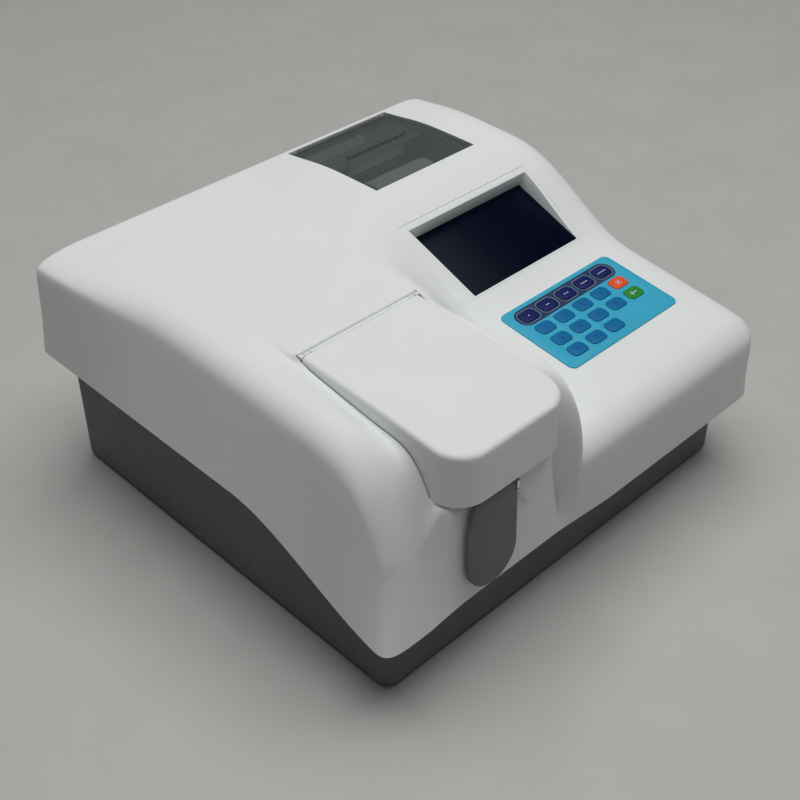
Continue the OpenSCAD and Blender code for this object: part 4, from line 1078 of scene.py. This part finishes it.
@dataclass
class Keypad:
    """The keypad's film and keys, with plain numbers and marks on the keys.

    Attributes:
        top: Height of the keys' tops above the desk.
        key_round: Rounding of the keys.
        figure: Height of a number.
        ink: Thickness of a printed mark.
        dot_r: Radius of a dot.
    """

    top: float = 1.3 * MM
    key_round: float = 0.6 * MM
    figure: float = 6.0 * MM
    ink: float = 0.05 * MM
    dot_r: float = 0.55 * MM
    layout: tuple[tuple[str, ...], ...] = field(
        default=(
            ("function_key_1", "function_key_2", "function_key_3", "function_key_4", "function_key_5"),
            ("number_key_1", "number_key_2", "number_key_3", "number_key_4", "clear_key"),
            ("number_key_5", "number_key_6", "number_key_7", "number_key_8", "enter_key"),
            ("number_key_9", "number_key_0", "point_key"),
        )
    )

    def finish_of(self, key: str) -> Finish:
        """Returns the finish of a key."""
        special = {"clear_key": Finishes.ORANGE, "enter_key": Finishes.GREEN}
        return special.get(key, Finishes.NAVY if key.startswith("function") else Finishes.BLUE)

    def place(self, column: int, row: int) -> Matrix:
        """Returns the frame on top of a key."""
        at = ((column - 2) * KEY_PITCH, KEY_ROWS[row], self.top - self.ink / 2)
        return Matrix.Translation(FILM_MIDDLE) @ Matrix.Rotation(DESK_TILT, 4, "X") @ Matrix.Translation(at)

    def figure_mark(self, text: str) -> bpy.types.Object:
        """Makes a plain number lying at the origin.

        Args:
            text: The number.

        Returns:
            Its mesh piece.
        """
        deselect()
        bpy.ops.object.text_add()
        mark = bpy.context.object
        mark.data.body = text
        mark.data.size = self.figure
        mark.data.align_x = "CENTER"
        mark.data.align_y = "CENTER"
        mark.data.extrude = self.ink
        bpy.ops.object.convert(target="MESH")
        return bpy.context.object

    def dot_mark(self, count: int) -> bpy.types.Object:
        """Makes a row of low dots lying at the origin.

        Args:
            count: How many dots.

        Returns:
            Their mesh piece.
        """
        spacing = 3.2 * self.dot_r
        deselect()
        dots = []
        for n in range(count):
            x = (n - (count - 1) / 2) * spacing
            bpy.ops.mesh.primitive_cylinder_add(
                vertices=24, radius=self.dot_r, depth=2 * self.ink, location=(x, 0.0, 0.0)
            )
            dots.append(bpy.context.object)
        row = join(dots)
        bpy.ops.object.transform_apply(location=True, rotation=True, scale=True)
        return row

    def bar_mark(self, bars: tuple[tuple[float, float, float, float], ...]) -> bpy.types.Object:
        """Makes a mark of straight bars lying at the origin.

        Args:
            bars: Middle x and y, length and angle in degrees of each bar.

        Returns:
            Their mesh piece.
        """
        width = 0.7 * MM
        deselect()
        made = []
        for x, y, length, angle in bars:
            bpy.ops.mesh.primitive_cube_add(size=1.0)
            bar = bpy.context.object
            bar.data.transform(
                Matrix.Translation((x, y, 0.0))
                @ Matrix.Rotation(math.radians(angle), 4, "Z")
                @ Matrix.Diagonal((length, width, 2 * self.ink, 1.0))
            )
            made.append(bar)
        return join(made)

    def mark_of(self, key: str) -> tuple[bpy.types.Object, Finish]:
        """Makes the mark of a key at the origin.

        Args:
            key: The key's node.

        Returns:
            The mark and its finish.
        """
        last = key.rsplit("_", 1)[1]
        if key.startswith("function"):
            return self.dot_mark(int(last)), Finishes.PALE_INK
        if key == "point_key":
            return self.dot_mark(1), Finishes.DEEP_INK
        if key == "clear_key":
            arm = 5.0 * MM
            return self.bar_mark(((0.0, 0.0, arm, 45.0), (0.0, 0.0, arm, -45.0))), Finishes.PALE_INK
        if key == "enter_key":
            tip, rise, arm = -2.2 * MM, 0.8 * MM, 2.4 * MM
            barbs = ((tip, rise, arm, 45.0), (tip, -rise, arm, -45.0))
            return self.bar_mark(((0.0, 0.0, 6.0 * MM, 0.0), *barbs)), Finishes.PALE_INK
        return self.figure_mark(last), Finishes.DEEP_INK

    def build(self) -> None:
        """Makes the keypad's pieces."""
        rounded("keypad_overlay", Finishes.FILM, 0.15 * MM, segments=2)
        for row, keys in enumerate(self.layout):
            for column, key in enumerate(keys):
                rounded(key, self.finish_of(key), self.key_round)
                mark, ink = self.mark_of(key)
                mark.name = key + "_mark"
                mark.data.transform(self.place(column, row))
                settle(mark, ink, BODY_OF[key])
        dress("keypad_board", Finishes.BOARD)


@dataclass
class Printer:
    """The strip printer under its smoked cover, with its deck and the paper's torn end.

    Attributes:
        edge: Rounding of the mouldings.
        cover_round: Rounding of the cover's edges.
        deck_x: Sides of the deck.
        deck_y: Front and rear of the deck.
        deck_z: Height of the deck's top at its front and rear.
        deck_t: Thickness of the deck.
        cap_x: Sides of the mechanism's pale cap.
        cap_y: Front and rear of the cap.
        cap_t: Thickness of the cap.
        slot_x: Ends of the slot for the paper.
        slot_y: Front and rear of the slot.
        slot_z: Lower and upper end of the cutter for the slot.
        shade_lip_z: Lower and upper end of the black frame round the slot in the cover, a painted shade for
            the slot's opening.
        tooth: Width of a tooth of the tear bar.
        paper_top: Height of the paper's torn end.
    """

    edge: float = 0.4 * MM
    cover_round: float = 0.5 * MM
    deck_x: tuple[float, float] = (39.2 * MM, 129.8 * MM)
    deck_y: tuple[float, float] = (108.8 * MM, 143.6 * MM)
    deck_z: tuple[float, float] = (171.6 * MM, 168.9 * MM)
    deck_t: float = 1.0 * MM
    cap_x: tuple[float, float] = (40.0 * MM, 92.0 * MM)
    cap_y: tuple[float, float] = (129.0 * MM, 143.2 * MM)
    cap_t: float = 0.7 * MM
    slot_x: tuple[float, float] = (55.6 * MM, 113.4 * MM)
    slot_y: tuple[float, float] = (111.7 * MM, 112.7 * MM)
    slot_z: tuple[float, float] = (160.0 * MM, 185.0 * MM)
    shade_lip_z: tuple[float, float] = (174.8 * MM, 177.5 * MM)
    tooth: float = 1.5 * MM
    paper_top: float = 177.7 * MM

    def on_deck(self, y: float) -> float:
        """Returns the height of the deck's top."""
        share = (y - self.deck_y[0]) / (self.deck_y[1] - self.deck_y[0])
        return self.deck_z[0] + share * (self.deck_z[1] - self.deck_z[0])

    def plate(
        self, name: str, x: tuple[float, float], y: tuple[float, float], lift: float, t: float
    ) -> bpy.types.Object:
        """Makes a plate that lies along the deck's slope.

        Args:
            name: The piece's name.
            x: Its sides.
            y: Its front and rear.
            lift: Height of its top above the deck's top.
            t: Its thickness.

        Returns:
            The plate, active.
        """
        piece = box_piece(name, (x[0], y[0], 0.0), (x[1], y[1], t))
        for vertex in piece.data.vertices:
            vertex.co.z += self.on_deck(vertex.co.y) + lift - t
        return piece

    def slot_tool(self, grow: float) -> bpy.types.Object:
        """Makes the cutter for the paper's slot, wider by a margin."""
        return self.slot_box("slot_tool", grow, self.slot_z)

    def slot_box(self, name: str, grow: float, z: tuple[float, float]) -> bpy.types.Object:
        """Makes a box round the paper's slot.

        Args:
            name: The box's name.
            grow: How far it goes beyond the slot.
            z: Its lower and upper end.

        Returns:
            The box, active.
        """
        low = (self.slot_x[0] - grow, self.slot_y[0] - grow, z[0])
        return box_piece(name, low, (self.slot_x[1] + grow, self.slot_y[1] + grow, z[1]))

    def deck(self) -> None:
        """Makes the deck with its slot and the pale mechanism cover behind it."""
        deck = self.plate("printer_deck", self.deck_x, self.deck_y, 0.0, self.deck_t)
        cut(deck, self.slot_tool(0.6 * MM))
        bevel(deck, 0.3 * MM)
        smooth(deck)
        settle(deck, Finishes.FRAME, "chassis")
        cap = self.plate("mechanism_cap", self.cap_x, self.cap_y, self.cap_t, self.cap_t)
        start_edit("DESELECT")
        bpy.ops.mesh.select_mode(type="EDGE")
        end_edit()
        corners = cap.data.vertices
        for line in cap.data.edges:
            first, last = (corners[n].co for n in line.vertices)
            line.select = abs(first.z - last.z) > 0.5 * self.deck_t and min(first.x, last.x) > 80 * MM
        bpy.ops.object.mode_set(mode="EDIT")
        bpy.ops.mesh.bevel(offset=5 * MM, segments=8, affect="EDGES")
        bpy.ops.mesh.select_mode(type="VERT")
        end_edit()
        bevel(cap, 0.25 * MM)
        smooth(cap)
        settle(cap, Finishes.MECHANISM, "chassis")

    def tear_bar(self) -> None:
        """Makes one tooth of the steel tear bar and repeats it along the slot."""
        y = self.slot_y[1] + 1.0 * MM
        z = self.on_deck(y)
        count = int((self.slot_x[1] - self.slot_x[0]) / self.tooth)
        left, high = self.slot_x[0], 1.2 * MM
        bar = box_piece("tear_bar", (left, y, z - 0.1 * MM), (left + self.tooth, y + high, z + high))
        start_edit()
        bpy.ops.mesh.bisect(plane_co=(left + self.tooth / 2, 0.0, 0.0), plane_no=(1.0, 0.0, 0.0))
        end_edit()
        for vertex in bar.data.vertices:
            if vertex.co.z > z + MM and abs(vertex.co.x - left - self.tooth / 2) > 0.4 * self.tooth:
                vertex.co.z -= 0.7 * MM
        apply_modifier(
            bar, "ARRAY", count=count, use_relative_offset=True, relative_offset_displace=(1.0, 0.0, 0.0),
            use_merge_vertices=True, merge_threshold=0.001 * MM,
        )
        settle(bar, Finishes.STEEL, "chassis")

    def paper_end(self) -> None:
        """Makes the paper's torn end, which stands in the slot."""
        deselect()
        columns = 76
        bpy.ops.mesh.primitive_grid_add(x_subdivisions=columns, y_subdivisions=6, size=1.0)
        strip = bpy.context.object
        strip.name = "paper_end"
        foot = self.slot_z[0]
        y = (self.slot_y[0] + self.slot_y[1]) / 2
        x0, x1 = self.slot_x[0] + 0.5 * MM, self.slot_x[1] - 0.5 * MM
        for vertex in strip.data.vertices:
            column = round((vertex.co.x + 0.5) * columns)
            share = vertex.co.y + 0.5
            tooth = 0.5 * MM if column % 2 and share > 0.99 else 0.0
            rise = (self.paper_top - foot) * share - tooth
            vertex.co = (x0 + (x1 - x0) * column / columns, y - 0.15 * MM * math.sin(3 * share), foot + rise)
        apply_modifier(strip, "SOLIDIFY", thickness=0.1 * MM)
        smooth(strip)
        settle(strip, Finishes.STRIP, "chassis")

    def cover(self) -> None:
        """Makes the smoked cover with the paper's slot, and a thin black frame round the slot as painted
        shade for its opening.
        """
        cover = rounded("printer_cover", Finishes.SMOKED, self.cover_round)
        body = BODY_OF["printer_cover"]
        cut(cover, self.slot_tool(0.0))
        smooth(cover)
        # Painted shade: a thin black frame round the slot stands in for the shade in the slot's opening; it
        # is not a real part.
        lip = self.slot_box("painted_shade_slot_lip", 0.45 * MM, self.shade_lip_z)
        cut(lip, self.slot_tool(-0.02 * MM))
        bevel(lip, 0.1 * MM)
        settle(lip, Finishes.RUBBER, body)

    def build(self) -> None:
        """Makes the printer's pieces."""
        rounded("printer_frame", Finishes.FRAME, self.edge)
        self.cover()
        self.deck()
        self.tear_bar()
        self.paper_end()
        low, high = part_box("paper_roll")
        axis = (low + high) / 2
        paper = WoundPaper(
            "wound_paper", "paper", (238, 239, 234), 0.7, 0.05, 0.02, 0.4 * MM, 0.01 * MM, axis=tuple(axis)
        )
        rounded("paper_roll", paper, self.edge)
        rounded("platen_roller", Finishes.RUBBER, self.edge)
        rounded("print_head", Finishes.ALLOY, self.edge)
        dress("cover_hinge_pin", Finishes.STEEL)
        dress("feed_motor", Finishes.ALLOY)


@dataclass
class Inside:
    """The pieces closed inside the casing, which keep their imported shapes."""

    finishes: dict[str, Finish] = field(
        default_factory=lambda: {
            "main_board": Finishes.BOARD,
            "power_supply": Finishes.ALLOY,
            "optical_bench": Finishes.ALLOY,
            "lamp_housing": Finishes.BLACK,
            "filter_wheel": Finishes.BLACK,
            "filter_motor": Finishes.ALLOY,
            "detector_board": Finishes.BOARD,
            "pump_body": Finishes.ALLOY,
            "pump_rotor": Finishes.IVORY,
        }
    )

    def build(self) -> None:
        """Dresses the inner pieces."""
        for node, finish in self.finishes.items():
            dress(node, finish)


@dataclass
class Studio:
    """The camera, the pale floor and the soft light from above.

    Attributes:
        eye: Place of the camera.
        pitch: Angle of the camera below the horizon, in degrees.
        yaw: Angle of the camera's aim from +Y towards +X, in degrees.
        lens: Focal length in millimetres, on a sensor 36 mm wide.
        floor_shade: Colour of the floor.
        floor_half: Half width of the floor.
        sky: Strength of the world's light.
    """

    eye: Point = (-0.518, -0.5235, 0.6213)
    pitch: float = 37.95
    yaw: float = 44.59
    lens: float = 58.9
    floor_shade: Shade = (190, 189, 186)
    floor_half: float = 6.0
    sky: float = 0.09

    def camera(self) -> None:
        """Sets the camera at the photograph's viewing angle."""
        data = bpy.data.cameras.new("bench_camera")
        data.lens = self.lens
        data.sensor_width = 36.0
        data.clip_start = 0.01
        eye = bpy.data.objects.new("bench_camera", data)
        bpy.context.scene.collection.objects.link(eye)
        eye.location = self.eye
        eye.rotation_euler = (math.radians(90 - self.pitch), 0.0, math.radians(-self.yaw))
        bpy.context.scene.camera = eye

    def floor(self) -> None:
        """Lays the pale floor under the feet."""
        deselect()
        bpy.ops.mesh.primitive_plane_add(size=2 * self.floor_half)
        floor = bpy.context.object
        floor.name = "bench_top"
        paint = Finish("bench_top_paint", "", self.floor_shade, 0.55, 0.06, 0.03, 3 * MM, 0.02 * MM)
        floor.data.materials.append(paint.material())

    def lamp(self, name: str, place: Point, size: float, power: float) -> None:
        """Hangs a square soft lamp that points at the object.

        Args:
            name: The lamp's name.
            place: Its place.
            size: Its side.
            power: Its power in watts.
        """
        data = bpy.data.lights.new(name, "AREA")
        data.shape = "SQUARE"
        data.size = size
        data.energy = power
        lamp = bpy.data.objects.new(name, data)
        bpy.context.scene.collection.objects.link(lamp)
        lamp.location = place
        lamp.rotation_euler = (Vector((0.0, 0.0, 0.1)) - Vector(place)).to_track_quat("-Z", "Y").to_euler()

    def world(self) -> None:
        """Fills the room with an even pale light."""
        world = bpy.data.worlds.new("room")
        bpy.context.scene.world = world
        world.use_nodes = True
        wires = Wiring(world.node_tree)
        sky = wires.add("Background", {"Color": (0.98, 1.0, 1.0, 1.0), "Strength": self.sky})
        out = wires.add("OutputWorld")
        wires.feed(out.inputs["Surface"], sky.outputs[0])

    def build(self) -> None:
        """Sets up the studio."""
        self.camera()
        self.floor()
        self.lamp("ceiling_panel", (0.2, 0.02, 2.3), 2.2, 45.0)
        self.world()
        bpy.context.scene.view_settings.view_transform = "Standard"


def main() -> None:
    """Builds the sub-assemblies in order and reports each piece."""
    logging.basicConfig(level=logging.INFO, format="%(message)s")
    deselect()
    for kind in (Studio, Casing, Base, RearPanel, SampleBay, Display, Keypad, Printer, Inside):
        LOG.info("building %s", kind.__name__)
        kind().build()


if __name__ == "__main__":
    main()
